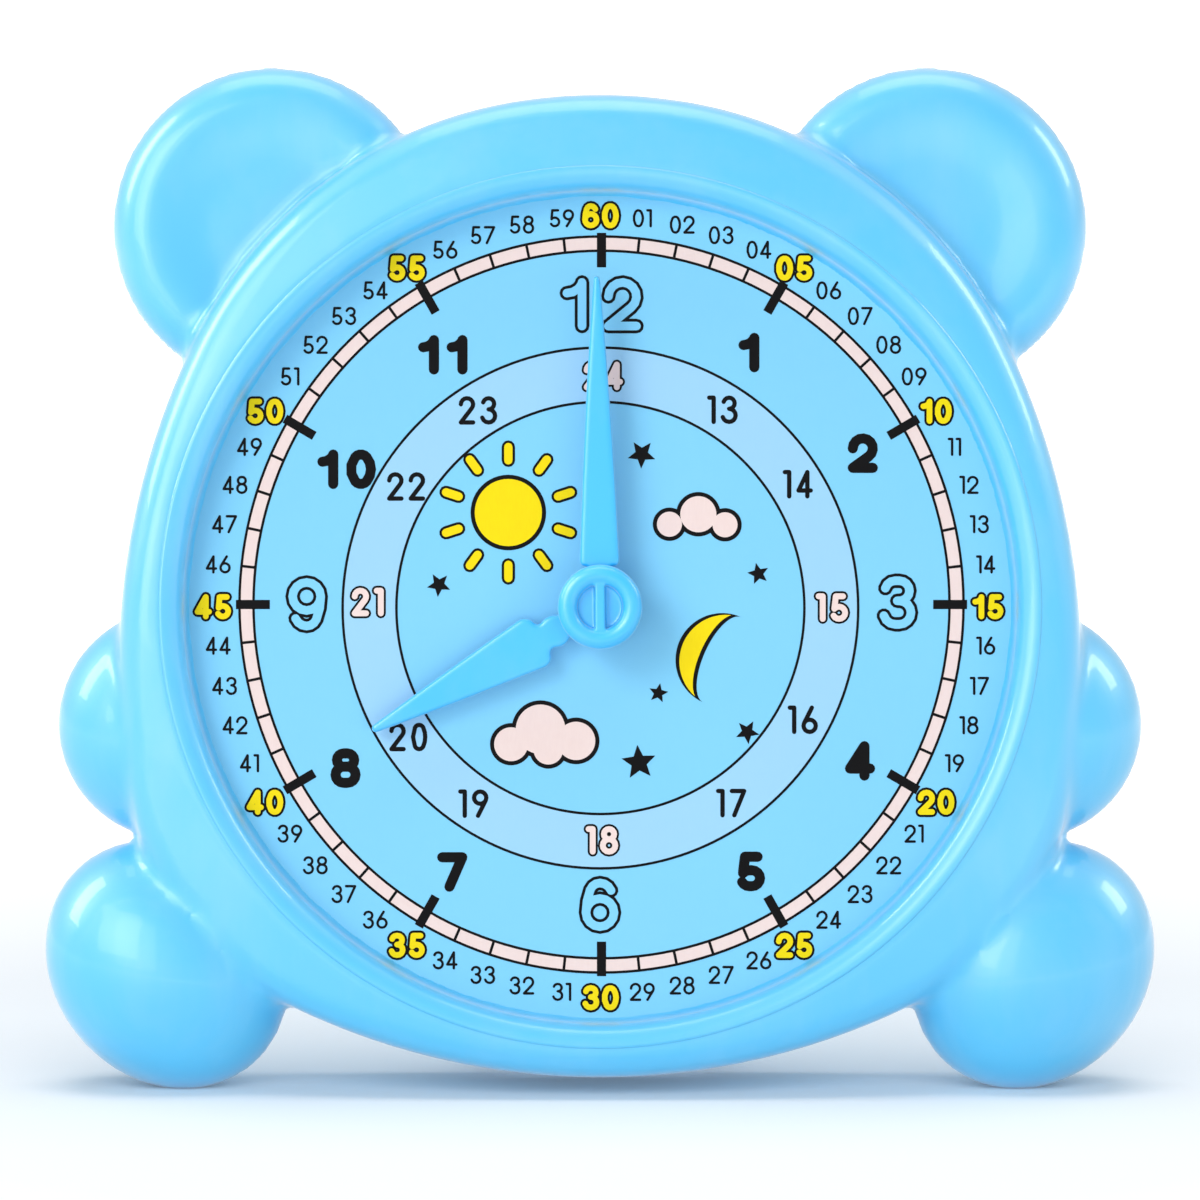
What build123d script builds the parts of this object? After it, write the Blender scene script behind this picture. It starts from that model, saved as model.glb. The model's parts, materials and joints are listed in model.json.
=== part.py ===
"""Geared teaching clock: a hollow two-part plastic case shaped like a bear, a printed dial, two hands on
concentric arbors, a 12:1 gear train behind the dial, a setting knob and a fold-out leg at the back.

Everything is modelled in the clock's own frame: the hand arbor lies on the Y axis, the dial's face is the
plane Y = 0, +Y runs to the back of the clock, +X to the viewer's right and +Z up the dial. At the end the
whole clock is leaned back onto its leg and set down, so that it rests on Z = 0. Lengths are millimetres
and angles are degrees.
"""

import math
import os

from build123d import *

# ---------------------------------------------------------------- driving dimensions: case
opening_radius = 74.9  # of the well that the dial lies in
lip_top, lip_side, lip_bottom = 17.3, 11.7, 9.7  # width of the lip, from the well to the outline
crown_more, side_more, sole_more = 20.5, 59.6, 52.8  # how much flatter than the well the outline's arcs are
upper_corner_more, lower_corner_less = 2.8, 23.5  # the same for its corners, the lower ones being sharper
side_drop = 11.0  # how far below the arbor the body is widest
wall = 2.2
lip_y = -10.0  # front of the lip, where it meets the dial's well
lip_slope = 10.0  # how much the lip falls away outward
lip_rounding = 5.5  # outer edge of the lip
crest_rounding = 4.0  # inner edge of the lip
well_wall = 3.0
parting_y = 7.0  # where the two shells meet
back_y = 24.0
back_rounding = 9.0

# middles of the limbs: outward of the well, at a bearing clockwise from the top
ear_out, ear_bearing, ear_radius = 15.5, 40.74, 28.8
ear_front_depth, ear_back_depth = 7.0, 12.0
ear_crest_radius = 22.2
ear_dish_radius, ear_dish_depth = 16.5, 3.0
hand_out, hand_bearing, hand_radius, hand_depth = 4.85, 105.34, 20.8, 13.5
foot_out, foot_bearing, foot_depth = 26.4, 129.55, 15.5
foot_long, foot_short = 23.7, 20.6  # half-lengths of the foot's oval
foot_turn = 49.4  # long axis of the right foot above the horizontal
foot_flat = 0.5  # how much is taken off flat under each foot

# ---------------------------------------------------------------- driving dimensions: dial and gears
sheet_thickness = 0.4
sheet_edge_gap = 0.2
floor_thickness = 2.2

gear_module = 0.8
pressure_angle = 25.0
backlash = 0.16
minute_teeth, idler_wheel_teeth = 15, 45
idler_pinion_teeth, hour_teeth = 12, 48
tip_height, root_depth = 0.92, 1.25  # of a tooth, in modules
gear_thickness = 3.0
pinion_overlap = 0.35  # how much a pinion is longer than its wheel, each side
wheel_gap = 0.8  # between the idler's pinion and its wheel
hole_count, hole_radius, hole_at = 6, 3.0, 11.6  # lightening holes in the two wheels

arbor_radius = 2.5
arbor_flat = 0.6  # depth of the flat that keys the hand, the pinion and the knob
tube_wall = 1.4
running_gap = 0.05  # radial, shaft in bush
fixed_gap = 0.02  # radial, pressed, glued or screwed pieces
axial_gap = 0.2
bush_wall, bush_flange, bush_flange_thickness = 1.8, 2.2, 1.0
pinion_hub_radius = 4.0
pinion_hub_length = 2.0
stud_radius = 2.0
stud_seat = 1.2  # how far the stud is let into the dial floor
idler_hub_radius = 4.2

washer_radius, washer_dish, washer_sheet = 5.4, 0.7, 0.4
bridge_thickness = 2.4
bridge_margin = 5.0  # plate beyond the screw centres
bridge_reach = 22.0  # screw centres beyond each arbor
bridge_half_height = 16.0
post_radius = 3.4

# ---------------------------------------------------------------- driving dimensions: hands and cap
hand_thickness = 2.4
hand_lift = 2.2  # hour hand above the dial
hand_step = 1.0  # minute hand above the hour hand
hand_edge = 0.6  # rounding of the hands' front edges
hand_notch = 0.8  # rounding of the corners between a hand's blade, neck and boss
minute_length, minute_start, minute_corner = 59.5, 7.3, 0.9
minute_base_half, minute_tip_half, minute_bow = 3.6, 0.6, 0.27
minute_boss_radius = 6.2
hour_length, hour_start = 46.6, 11.7
hour_shoulder_half, hour_tip_half, hour_bow, hour_corner = 5.1, 0.75, 0.15, 2.1
hour_bead_at, hour_bead_radius = 9.2, 2.9
hour_boss_radius = 6.8
cap_radius, cap_height = 7.6, 4.6
cap_well_radius, cap_well_depth = 4.05, 2.4
cap_bar_width, cap_bar_drop = 1.8, 0.5
cap_rim_rounding = 1.6
cap_grip = 1.2  # how far the arbor enters the cap
minute_angle = -0.6  # the minute hand at rest, clockwise from the top
hour_angle = 241.6  # the hour hand at rest, clockwise from the top

# ---------------------------------------------------------------- driving dimensions: knob, leg, screws
knob_radius, knob_height, knob_gap = 20.0, 11.0, 0.8
knob_flutes, flute_radius, flute_bite = 12, 4.5, 1.6
knob_edge = 1.6
knob_rim, knob_web = 4.2, 2.6
knob_hub_radius = 6.0
knob_hole_gap = 1.2  # round the knob's hub, where it passes the rear cover
knob_screw_length = 8.0

lean = 8.0  # how far the clock leans back
leg_splay = 22.0  # between the leg and the back of the clock
leg_pivot_y, leg_pivot_z = 21.2, -34.0
leg_width, leg_thickness, leg_corner = 38.0, 3.4, 8.0
leg_barrel_radius = 2.7
leg_window_width, leg_window_height, leg_window_drop = 20.0, 22.0, 13.0
leg_stop_gap = 0.15
pocket_floor_y, pocket_gap = 18.0, 0.6
pin_radius, pin_seat, pin_boss = 1.5, 4.5, 3.4

keyhole_z, keyhole_radius = 56.0, 4.2
keyhole_slot_half, keyhole_rise = 2.2, 8.0

screw_radius, screw_head_radius, screw_head_height = 1.5, 2.8, 1.8
screw_hole_gap = 0.25
case_screw_length, case_screw_seat = 13.0, 6.0  # and how far behind the parting its head sits
top_screw_out, hand_screw_out = 8.4, 12.1  # outward of the well
bridge_screw_length = 9.0
head_gap = 0.5
cross_width, cross_depth = 0.7, 0.9

# ---------------------------------------------------------------- derived places
far = 400.0  # larger than the clock, for cutting blocks


def bearing_place(outward, bearing):
    """Where something stands that far outward of the well, at a bearing clockwise from the top."""
    reach = opening_radius + outward
    return (reach * math.sin(math.radians(bearing)), reach * math.cos(math.radians(bearing)))


crown_top, crown_radius = opening_radius + lip_top, opening_radius + crown_more
side_reach, side_radius = opening_radius + lip_side, opening_radius + side_more
sole_bottom, sole_radius = -opening_radius - lip_bottom, opening_radius + sole_more
upper_corner_radius = opening_radius + upper_corner_more
lower_corner_radius = opening_radius - lower_corner_less
ear_x, ear_z = bearing_place(ear_out, ear_bearing)
hand_x, hand_z = bearing_place(hand_out, hand_bearing)
foot_x, foot_z = bearing_place(foot_out, foot_bearing)
gear_centre = gear_module * (minute_teeth + idler_wheel_teeth) / 2  # arbor to idler
tube_bore = arbor_radius + running_gap
tube_radius = tube_bore + tube_wall
floor_front = sheet_thickness
floor_back = floor_front + floor_thickness
hour_wheel_y = floor_back + bush_flange_thickness + axial_gap
hour_wheel_back = hour_wheel_y + gear_thickness
idler_pinion_y = hour_wheel_y - pinion_overlap
idler_pinion_back = hour_wheel_back + pinion_overlap
idler_wheel_y = idler_pinion_back + wheel_gap
idler_wheel_back = idler_wheel_y + gear_thickness
minute_pinion_y = idler_wheel_y - pinion_overlap
minute_pinion_back = idler_wheel_back + pinion_overlap
washer_y = minute_pinion_back + pinion_hub_length
bridge_y = washer_y + washer_dish + washer_sheet + axial_gap
bridge_back = bridge_y + bridge_thickness
bridge_bush_back = bridge_back + bush_flange_thickness
hour_hand_back = -hand_lift
hour_hand_front = hour_hand_back - hand_thickness
minute_hand_back = hour_hand_front - hand_step
minute_hand_front = minute_hand_back - hand_thickness
cap_front = minute_hand_front - cap_height
arbor_front = minute_hand_front - cap_grip
knob_front = back_y + knob_gap
knob_back = knob_front + knob_height
arbor_back = knob_back - knob_web
screw_seat_y = parting_y + case_screw_seat
right_screws = [bearing_place(top_screw_out, ear_bearing), bearing_place(hand_screw_out, hand_bearing)]
right_screws.append((foot_x, foot_z))
screw_places = [(side * x, z) for side in (-1, 1) for x, z in right_screws]
post_places = [
    (x, side * bridge_half_height) for x in (-bridge_reach, gear_centre + bridge_reach) for side in (-1, 1)
]

sin_lean, cos_lean = math.sin(math.radians(lean)), math.cos(math.radians(lean))
sin_splay, cos_splay = math.sin(math.radians(leg_splay)), math.cos(math.radians(leg_splay))
foot_rise = math.hypot(
    foot_long * math.sin(math.radians(foot_turn)), foot_short * math.cos(math.radians(foot_turn))
)
foot_drop = math.hypot(foot_rise * cos_lean, foot_depth * sin_lean)
floor_level = foot_z * cos_lean - parting_y * sin_lean - foot_drop + foot_flat
pocket_depth = leg_pivot_y - pocket_floor_y
leg_tail = (pocket_depth - leg_stop_gap - leg_thickness / 2 * cos_splay) / sin_splay
pocket_half = leg_width / 2 + pocket_gap
pin_end = pocket_half + pin_seat
pocket_top = leg_pivot_z + math.hypot(leg_tail, leg_thickness / 2) + pocket_gap
leg_pivot_level = leg_pivot_z * cos_lean - leg_pivot_y * sin_lean
leg_length = (leg_pivot_level - floor_level) / math.cos(math.radians(leg_splay - lean))


# ---------------------------------------------------------------- helpers
def dial_plane(y):
    """The plane at that depth, drawn as the viewer sees it: its own x is X and its own y is Z."""
    return Plane(origin=(0, y, 0), x_dir=(1, 0, 0), z_dir=(0, -1, 0))


def slab(sketch, front, back):
    """A sketch as the viewer sees it, made solid between two depths."""
    return extrude(dial_plane(back) * sketch, amount=back - front)


def rod(radius, front, back, x=0.0, z=0.0):
    return slab(Pos(x, z) * Circle(radius), front, back)


def keyed_rod(radius, front, back, flat):
    """A rod with a flat along its right-hand side, that much below its round."""
    return slab(Circle(radius) & Pos(-flat - radius, 0) * Rectangle(4 * radius, 4 * radius), front, back)


def cross_rod(radius, left, right):
    """A rod along X at the leg's pivot."""
    place = Pos((left + right) / 2, leg_pivot_y, leg_pivot_z)
    return place * Rot(0, 90, 0) * Cylinder(radius, right - left)


def turned(points):
    """A closed outline of (radius, y) points turned about the arbor."""
    return revolve(make_face(Polyline(*points, close=True)), Axis.Y)


def slice_between(front, back):
    """Everything between two depths, for cutting and splitting."""
    return Pos(0, (front + back) / 2, 0) * Box(far, back - front, far)


def clockwise(shape, degrees):
    """Turns a shape about the arbor, clockwise as the viewer sees it."""
    return Rot(0, degrees, 0) * shape


def one_solid(shape):
    """The shape's only solid, so that a stray fragment is noticed."""
    solids = shape.solids()
    assert len(solids) == 1, f"{len(solids)} solids where one is meant"
    return solids[0]


# ---------------------------------------------------------------- case
def body_outline(inset):
    crown = Pos(0, crown_top - crown_radius) * Circle(crown_radius - inset)
    crown += Pos(0, -far / 2) * Rectangle(far, far)
    sole = Pos(0, sole_bottom + sole_radius) * Circle(sole_radius - inset)
    right = Pos(side_reach - side_radius, -side_drop) * Circle(side_radius - inset)
    left = Pos(side_radius - side_reach, -side_drop) * Circle(side_radius - inset)
    outline = crown & sole & right & left
    corners = outline.vertices().sort_by(Axis.Y)
    outline = fillet(corners[2:], upper_corner_radius - inset)
    lower = [outline.vertices().sort_by_distance(corner)[0] for corner in corners[:2]]
    return fillet(lower, lower_corner_radius - inset)


def on_outer_edge(edge):
    """Whether an edge runs round the outside of the lip."""
    middle = edge @ 0.5
    outside = math.hypot(middle.X, middle.Z) > opening_radius + crest_rounding
    return outside and middle.Y < parting_y and edge.geom_type != GeomType.LINE


def body_block(inset):
    """The body as a block, its front falling away from the lip and its outer edges rounded."""
    front = lip_y + inset / math.cos(math.radians(lip_slope))
    rim_y = front + (far - opening_radius) * math.tan(math.radians(lip_slope))
    block = slab(body_outline(inset), front, back_y - inset)
    block -= turned([(opening_radius, front), (far, rim_y), (far, -far), (opening_radius, -far)])
    block = fillet([edge for edge in block.edges() if on_outer_edge(edge)], lip_rounding - inset)
    return fillet(block.faces().sort_by(Axis.Y)[-1].edges(), back_rounding - inset)


def on_crest(edge):
    """Whether an edge runs round the mouth of the dial's well."""
    ends = [edge @ share for share in (0.1, 0.5, 0.9)]
    level = max(end.Y for end in ends) - min(end.Y for end in ends) < edge.length / 2
    on_wall = all(abs(math.hypot(end.X, end.Z) - opening_radius) < 0.01 for end in ends)
    return level and on_wall and all(end.Y < floor_front - crest_rounding / 2 for end in ends)


def ball(half_width, half_depth, half_height):
    """A ball squeezed to an oval, with its middle on the parting."""
    return Pos(0, parting_y, 0) * scale(Sphere(1), by=(half_width, half_depth, half_height))


def ear_front(inset, side):
    """The front of a round ear: a thick rolled rim round a shallow dish."""
    rim = ear_radius - inset
    crest = parting_y - ear_front_depth + inset
    dish = crest + ear_dish_depth
    slope_middle = (ear_crest_radius + ear_dish_radius) / 2
    floor = Line((0, dish), (ear_dish_radius, dish))
    slope = Spline(
        floor @ 1,
        (slope_middle, (crest + dish) / 2),
        (ear_crest_radius, crest),
        tangents=((1, 0), (1, 0)),
    )
    roll = EllipticalCenterArc(
        (ear_crest_radius, parting_y), rim - ear_crest_radius, parting_y - crest, -90, arc_size=90
    )
    joint = Line(roll @ 1, (0, parting_y))
    profile = make_face(Curve() + [floor, slope, roll, joint, Line(joint @ 1, floor @ 0)])
    return Pos(side * ear_x, 0, ear_z) * revolve(profile, Axis.Y)


def ear_back(inset, side):
    half_width = ear_radius - inset
    return Pos(side * ear_x, 0, ear_z) * ball(half_width, ear_back_depth - inset, half_width)


def hand(inset, side):
    half_width, half_depth = hand_radius - inset, hand_depth - inset
    return Pos(side * hand_x, 0, hand_z) * ball(half_width, half_depth, half_width)


def foot(inset, side):
    oval = ball(foot_long - inset, foot_depth - inset, foot_short - inset)
    return Pos(side * foot_x, 0, foot_z) * Rot(0, -side * foot_turn, 0) * oval


def ground():
    """The surface that the leaned clock stands on, as a block in the clock's own frame."""
    return Rot(lean, 0, 0) * Pos(0, 0, floor_level - far / 2) * Box(far, far, far)


def front_block(inset):
    """The front half of the body and its limbs, as one solid without the dial's well."""
    half = slice_between(-far, parting_y)
    block = body_block(inset) & half
    for side in (-1, 1):
        block += ear_front(inset, side)
        block += hand(inset, side) & half
        block += foot(inset, side) & half
    return block


def rear_block(inset):
    """The rear half of the body and its limbs, as one solid."""
    half = slice_between(parting_y, far)
    block = body_block(inset) & half
    for side in (-1, 1):
        for limb in (ear_back, hand, foot):
            block += limb(inset, side) & half
    return block


def leg_pocket_block():
    """The walls of the leg's pocket and the two bosses for its pin."""
    half = pocket_half + wall
    top = pocket_top + wall
    block = Pos(0, pocket_floor_y - wall + far / 2, top - far / 2) * Box(2 * half, far, far)
    boss_end = pin_end + wall / 2
    return block + cross_rod(pin_boss, -boss_end, boss_end)


def front_shell():
    """The front half: the lip, the well that the dial lies in, and all that stands up behind it."""
    shell = front_block(0) - rod(opening_radius, -far, floor_front)
    shell = fillet([edge for edge in shell.edges() if on_crest(edge)], crest_rounding)
    cavity = front_block(wall) - rod(opening_radius + well_wall, -far, floor_back)
    for x, z in screw_places:
        cavity -= rod(post_radius, -far, far, x, z)
    shell -= cavity
    shell -= ground()
    shell += rod(idler_hub_radius, floor_front + wall / 2, idler_pinion_y - axial_gap, gear_centre)
    for x, z in post_places:
        shell += rod(post_radius, floor_front + wall / 2, bridge_y, x, z)
        shell -= rod(screw_radius + fixed_gap, bridge_back - bridge_screw_length - axial_gap, far, x, z)
    for x, z in screw_places:
        shell -= rod(screw_radius + fixed_gap, screw_seat_y - case_screw_length - axial_gap, far, x, z)
    shell -= rod(stud_radius + fixed_gap, floor_back - stud_seat, far, gear_centre)
    return one_solid(shell - rod(hour_bush_radius() + fixed_gap, -far, far))


def rear_cover():
    """The rear half, with the knob's hole, the leg's pocket and a keyhole for hanging."""
    cavity = rear_block(wall) - leg_pocket_block()
    for x, z in screw_places:
        cavity -= rod(post_radius, -far, far, x, z)
    shell = rear_block(0) - cavity
    shell -= ground()
    for x, z in screw_places:
        shell -= rod(screw_radius + screw_hole_gap, -far, far, x, z)
        shell -= rod(screw_head_radius + head_gap, screw_seat_y, far, x, z)
    shell -= rod(knob_hub_radius + knob_hole_gap, -far, far)
    shell -= Pos(0, pocket_floor_y + far / 2, pocket_top - far / 2) * Box(2 * pocket_half, far, far)
    shell -= cross_rod(pin_radius + fixed_gap, -pin_end, pin_end + wall)
    slot = Pos(0, keyhole_rise / 2) * Rectangle(2 * keyhole_slot_half, keyhole_rise)
    slot += Pos(0, keyhole_rise) * Circle(keyhole_slot_half)
    keyhole = Pos(0, keyhole_z) * (Circle(keyhole_radius) + slot)
    return one_solid(shell - slab(keyhole, back_y - 2 * wall, far))


def dial_sheet():
    disc = rod(opening_radius - sheet_edge_gap, 0, sheet_thickness)
    return one_solid(disc - rod(hour_bush_radius(), -far, far))


# ---------------------------------------------------------------- gears
def involute(radius, base):
    """Angle in radians that an involute turns through between its base circle and a radius."""
    roll = math.sqrt((radius / base) ** 2 - 1)
    return roll - math.atan(roll)


def polar(radius, angle):
    return (radius * math.cos(angle), radius * math.sin(angle))


def tip_radius(teeth):
    return gear_module * (teeth / 2 + tip_height)


def gear_sketch(teeth, first=0.0):
    """A spur gear's outline, with a tooth centred at the angle called first, in degrees."""
    pitch = gear_module * teeth / 2
    base = pitch * math.cos(math.radians(pressure_angle))
    tip, root = tip_radius(teeth), pitch - root_depth * gear_module
    start = max(base, root)
    half_at_pitch = (math.pi * gear_module / 2 - backlash / 2) / 2 / pitch
    flank = [start + (tip - start) * step / 4 for step in range(5)]
    halves = [half_at_pitch + involute(pitch, base) - involute(radius, base) for radius in flank]
    edges = []
    for tooth in range(teeth):
        middle = math.radians(first) + 2 * math.pi * tooth / teeth
        rise = [polar(radius, middle - half) for radius, half in zip(flank, halves)]
        fall = [polar(radius, middle + half) for radius, half in zip(flank, halves)][::-1]
        gap_start = polar(root, middle + halves[0])
        gap_middle = polar(root, middle + math.pi / teeth)
        gap_end = polar(root, middle + 2 * math.pi / teeth - halves[0])
        edges += [Spline(*rise), ThreePointArc(rise[-1], polar(tip, middle), fall[0]), Spline(*fall)]
        edges.append(ThreePointArc(gap_start, gap_middle, gap_end))
        if root < start:
            edges.append(Line(polar(root, middle - halves[0]), rise[0]))
            edges.append(Line(fall[-1], gap_start))
    return make_face(edges)


def lightened(wheel, x):
    """Takes a ring of round holes out of a wheel."""
    for hole in range(hole_count):
        place = polar(hole_at, 2 * math.pi * hole / hole_count)
        wheel -= rod(hole_radius, -far, far, x + place[0], place[1])
    return wheel


def hour_wheel():
    """The last wheel of the train and the tube that carries the hour hand."""
    wheel = lightened(slab(gear_sketch(hour_teeth), hour_wheel_y, hour_wheel_back), 0)
    wheel += rod(tube_radius, hour_hand_front, hour_wheel_back)
    return one_solid(wheel - rod(tube_bore, -far, far))


def idler_gear():
    """One moulding: a small pinion that drives the hour wheel and a large wheel."""
    half_pitch = 180 / idler_pinion_teeth
    pinion = gear_sketch(idler_pinion_teeth, half_pitch)
    large = slab(gear_sketch(idler_wheel_teeth), idler_wheel_y, idler_wheel_back)
    gear = lightened(large, 0)
    gear += slab(pinion, idler_pinion_y, idler_wheel_y)
    gear += rod(tip_radius(idler_pinion_teeth), idler_pinion_back, idler_wheel_y)
    gear += rod(idler_hub_radius, idler_wheel_y, bridge_y - axial_gap)
    gear -= rod(stud_radius + running_gap, -far, far)
    return one_solid(Pos(gear_centre, 0, 0) * gear)


def minute_pinion():
    pinion = slab(gear_sketch(minute_teeth), minute_pinion_y, minute_pinion_back)
    pinion += rod(pinion_hub_radius, hour_wheel_back + axial_gap, washer_y)
    return one_solid(pinion - keyed_rod(arbor_radius + fixed_gap, -far, far, arbor_flat))


def minute_arbor():
    """A steel rod, keyed where it carries the minute hand and again from the pinion to the knob."""
    arbor = keyed_rod(arbor_radius, arbor_front, minute_hand_back, arbor_flat)
    arbor += rod(arbor_radius, minute_hand_back, hour_wheel_back)
    arbor += keyed_rod(arbor_radius, hour_wheel_back, arbor_back, arbor_flat)
    bore = rod(screw_radius + fixed_gap, arbor_back - knob_screw_length + knob_web / 2, far)
    return one_solid(arbor - bore)


def idler_stud():
    return one_solid(rod(stud_radius, floor_back - stud_seat, bridge_back, gear_centre))


# ---------------------------------------------------------------- bushes, washer and bridge
def hour_bush_radius():
    return tube_radius + running_gap + bush_wall


def arbor_bush_radius():
    return arbor_radius + running_gap + bush_wall


def hour_bush():
    bush = rod(hour_bush_radius(), floor_front, floor_back)
    bush += rod(hour_bush_radius() + bush_flange, floor_back, floor_back + bush_flange_thickness)
    return one_solid(bush - rod(tube_radius + running_gap, -far, far))


def arbor_bush():
    bush = rod(arbor_bush_radius(), bridge_y, bridge_back)
    bush += rod(arbor_bush_radius() + bush_flange, bridge_back, bridge_bush_back)
    return one_solid(bush - rod(arbor_radius + running_gap, -far, far))


def friction_washer():
    """A dished spring washer that keeps the hands where they are put."""
    inner = arbor_radius + fixed_gap
    back = washer_y + washer_sheet
    profile = [(inner, washer_y), (washer_radius, washer_y + washer_dish)]
    profile += [(washer_radius, back + washer_dish), (inner, back)]
    return one_solid(turned(profile))


def gear_bridge():
    width = gear_centre + 2 * (bridge_reach + bridge_margin)
    height = 2 * (bridge_half_height + bridge_margin)
    outline = Pos(gear_centre / 2, 0) * RectangleRounded(width, height, bridge_margin)
    plate = slab(outline, bridge_y, bridge_back)
    plate -= rod(arbor_bush_radius() + fixed_gap, -far, far)
    plate -= rod(stud_radius + fixed_gap, -far, far, gear_centre)
    for x, z in post_places:
        plate -= rod(screw_radius + screw_hole_gap, -far, far, x, z)
    return one_solid(plate)


# ---------------------------------------------------------------- hands and cap
def tapered_hand(start, length, base_half, tip_half, bow, corner):
    """A hand's blade pointing up: a base with rounded corners, slightly bowed sides and a round tip."""
    top = length - tip_half
    middle_half, middle = (base_half + tip_half) / 2 + bow, (start + top) / 2
    base = Line((-base_half, start), (base_half, start))
    right = ThreePointArc(base @ 1, (middle_half, middle), (tip_half, top))
    tip = ThreePointArc(right @ 1, (0, length), (-tip_half, top))
    left = ThreePointArc(tip @ 1, (-middle_half, middle), base @ 0)
    blade = make_face(Curve() + [base, right, tip, left])
    return fillet(blade.vertices().sort_by(Axis.Y)[:2], corner)


def soft_front(shape, radius):
    """Rounds the edges of a shape's front face."""
    return fillet(shape.faces().sort_by(Axis.Y)[0].outer_wire().edges(), radius)


def hand_plate(outline, front, back):
    """A hand's outline with its inner corners eased, made solid with a soft front edge."""
    eased = offset(offset(outline, hand_notch), -hand_notch)
    return soft_front(slab(eased, front, back), hand_edge)


def hour_hand():
    blade = tapered_hand(
        hour_start, hour_length, hour_shoulder_half, hour_tip_half, hour_bow, hour_corner
    )
    outline = blade + Pos(0, hour_bead_at) * Circle(hour_bead_radius) + Circle(hour_boss_radius)
    plate = hand_plate(outline, hour_hand_front, hour_hand_back)
    plate -= rod(tube_radius + fixed_gap, -far, far)
    return one_solid(clockwise(plate, hour_angle))


def minute_hand():
    blade = tapered_hand(
        minute_start, minute_length, minute_base_half, minute_tip_half, minute_bow, minute_corner
    )
    neck = Pos(0, minute_start / 2) * Rectangle(minute_base_half, minute_start + minute_corner)
    outline = blade + neck + Circle(minute_boss_radius)
    plate = clockwise(hand_plate(outline, minute_hand_front, minute_hand_back), minute_angle)
    return one_solid(plate - keyed_rod(arbor_radius + fixed_gap, -far, far, arbor_flat))


def hub_cap():
    """A ring-shaped cap pressed on the arbor's end, with a bar across its well."""
    cap = rod(cap_radius, cap_front, minute_hand_front)
    cap -= rod(cap_well_radius, -far, cap_front + cap_well_depth)
    mouth = cap.faces().sort_by(Axis.Y)[0]
    cap = fillet(mouth.edges(), cap_rim_rounding)
    bar_front, bar_back = cap_front + cap_bar_drop, cap_front + cap_well_depth
    bar = slab(Rectangle(cap_bar_width, 2 * cap_well_radius + cap_bar_drop), bar_front, bar_back)
    cap += clockwise(bar, minute_angle)
    blind = keyed_rod(arbor_radius + fixed_gap, arbor_front, far, arbor_flat)
    return one_solid(cap - blind)


# ---------------------------------------------------------------- knob, leg and their fixings
def setting_knob():
    """A fluted knob, hollow towards the case, with a hub that reaches in to the arbor."""
    disc = rod(knob_radius, knob_front, knob_back)
    for flute in range(knob_flutes):
        place = polar(knob_radius + flute_radius - flute_bite, 2 * math.pi * flute / knob_flutes)
        disc -= rod(flute_radius, -far, far, *place)
    disc = fillet(disc.faces().sort_by(Axis.Y)[-1].outer_wire().edges(), knob_edge)
    disc -= rod(knob_radius - knob_rim, -far, arbor_back)
    disc += rod(knob_hub_radius, bridge_bush_back + axial_gap, arbor_back)
    disc -= keyed_rod(arbor_radius + fixed_gap, -far, arbor_back, arbor_flat)
    disc -= rod(screw_radius + screw_hole_gap, -far, far)
    return one_solid(disc - rod(screw_head_radius + head_gap, knob_back - knob_web / 2, far))


def screw(seat, length, x=0.0, z=0.0):
    """A cross-head screw entered from the back: its head sits on the seat, its shank runs forward."""
    head = rod(screw_head_radius, seat, seat + screw_head_height)
    head = fillet(head.edges().sort_by(Axis.Y)[-1], cross_width)
    cross = Rectangle(cross_width, 3 * cross_width) + Rectangle(3 * cross_width, cross_width)
    head -= slab(cross, seat + screw_head_height - cross_depth, far)
    shank = rod(screw_radius, seat - length, seat)
    return Pos(x, 0, z) * one_solid(head + shank)


def case_screws():
    return Compound([screw(screw_seat_y, case_screw_length, x, z) for x, z in screw_places])


def bridge_screws():
    return Compound([screw(bridge_back, bridge_screw_length, x, z) for x, z in post_places])


def knob_screw():
    return screw(knob_back - knob_web / 2, knob_screw_length)


def is_sole_corner(edge):
    """Whether an edge is one of the two short ones at the ends of the leg's sole."""
    middle = edge @ 0.5
    across = abs(edge.length - leg_thickness) < leg_thickness / 2
    on_side = abs(middle.X) > leg_width / 2 - running_gap
    return across and on_side and middle.Z < leg_pivot_z - leg_length / 2


def stand_leg():
    """A flat leg on a cross pin. Its tail meets the floor of the pocket when it is splayed."""
    reach = leg_length + leg_thickness
    panel = Pos(0, (leg_tail - reach) / 2) * Rectangle(leg_width, leg_tail + reach)
    window = Pos(0, -leg_window_drop - leg_window_height / 2)
    window *= RectangleRounded(leg_window_width, leg_window_height, leg_corner / 2)
    leg = slab(panel - window, -leg_thickness / 2, leg_thickness / 2)
    leg = Pos(0, leg_pivot_y, leg_pivot_z) * Rot(leg_splay, 0, 0) * leg
    leg += cross_rod(leg_barrel_radius, -leg_width / 2, leg_width / 2)
    leg -= cross_rod(pin_radius + running_gap, -far, far)
    leg -= ground()
    corners = [edge for edge in leg.edges() if is_sole_corner(edge)]
    return one_solid(fillet(corners, leg_corner))


def leg_pin():
    return one_solid(cross_rod(pin_radius, -pin_end, pin_end))


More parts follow.
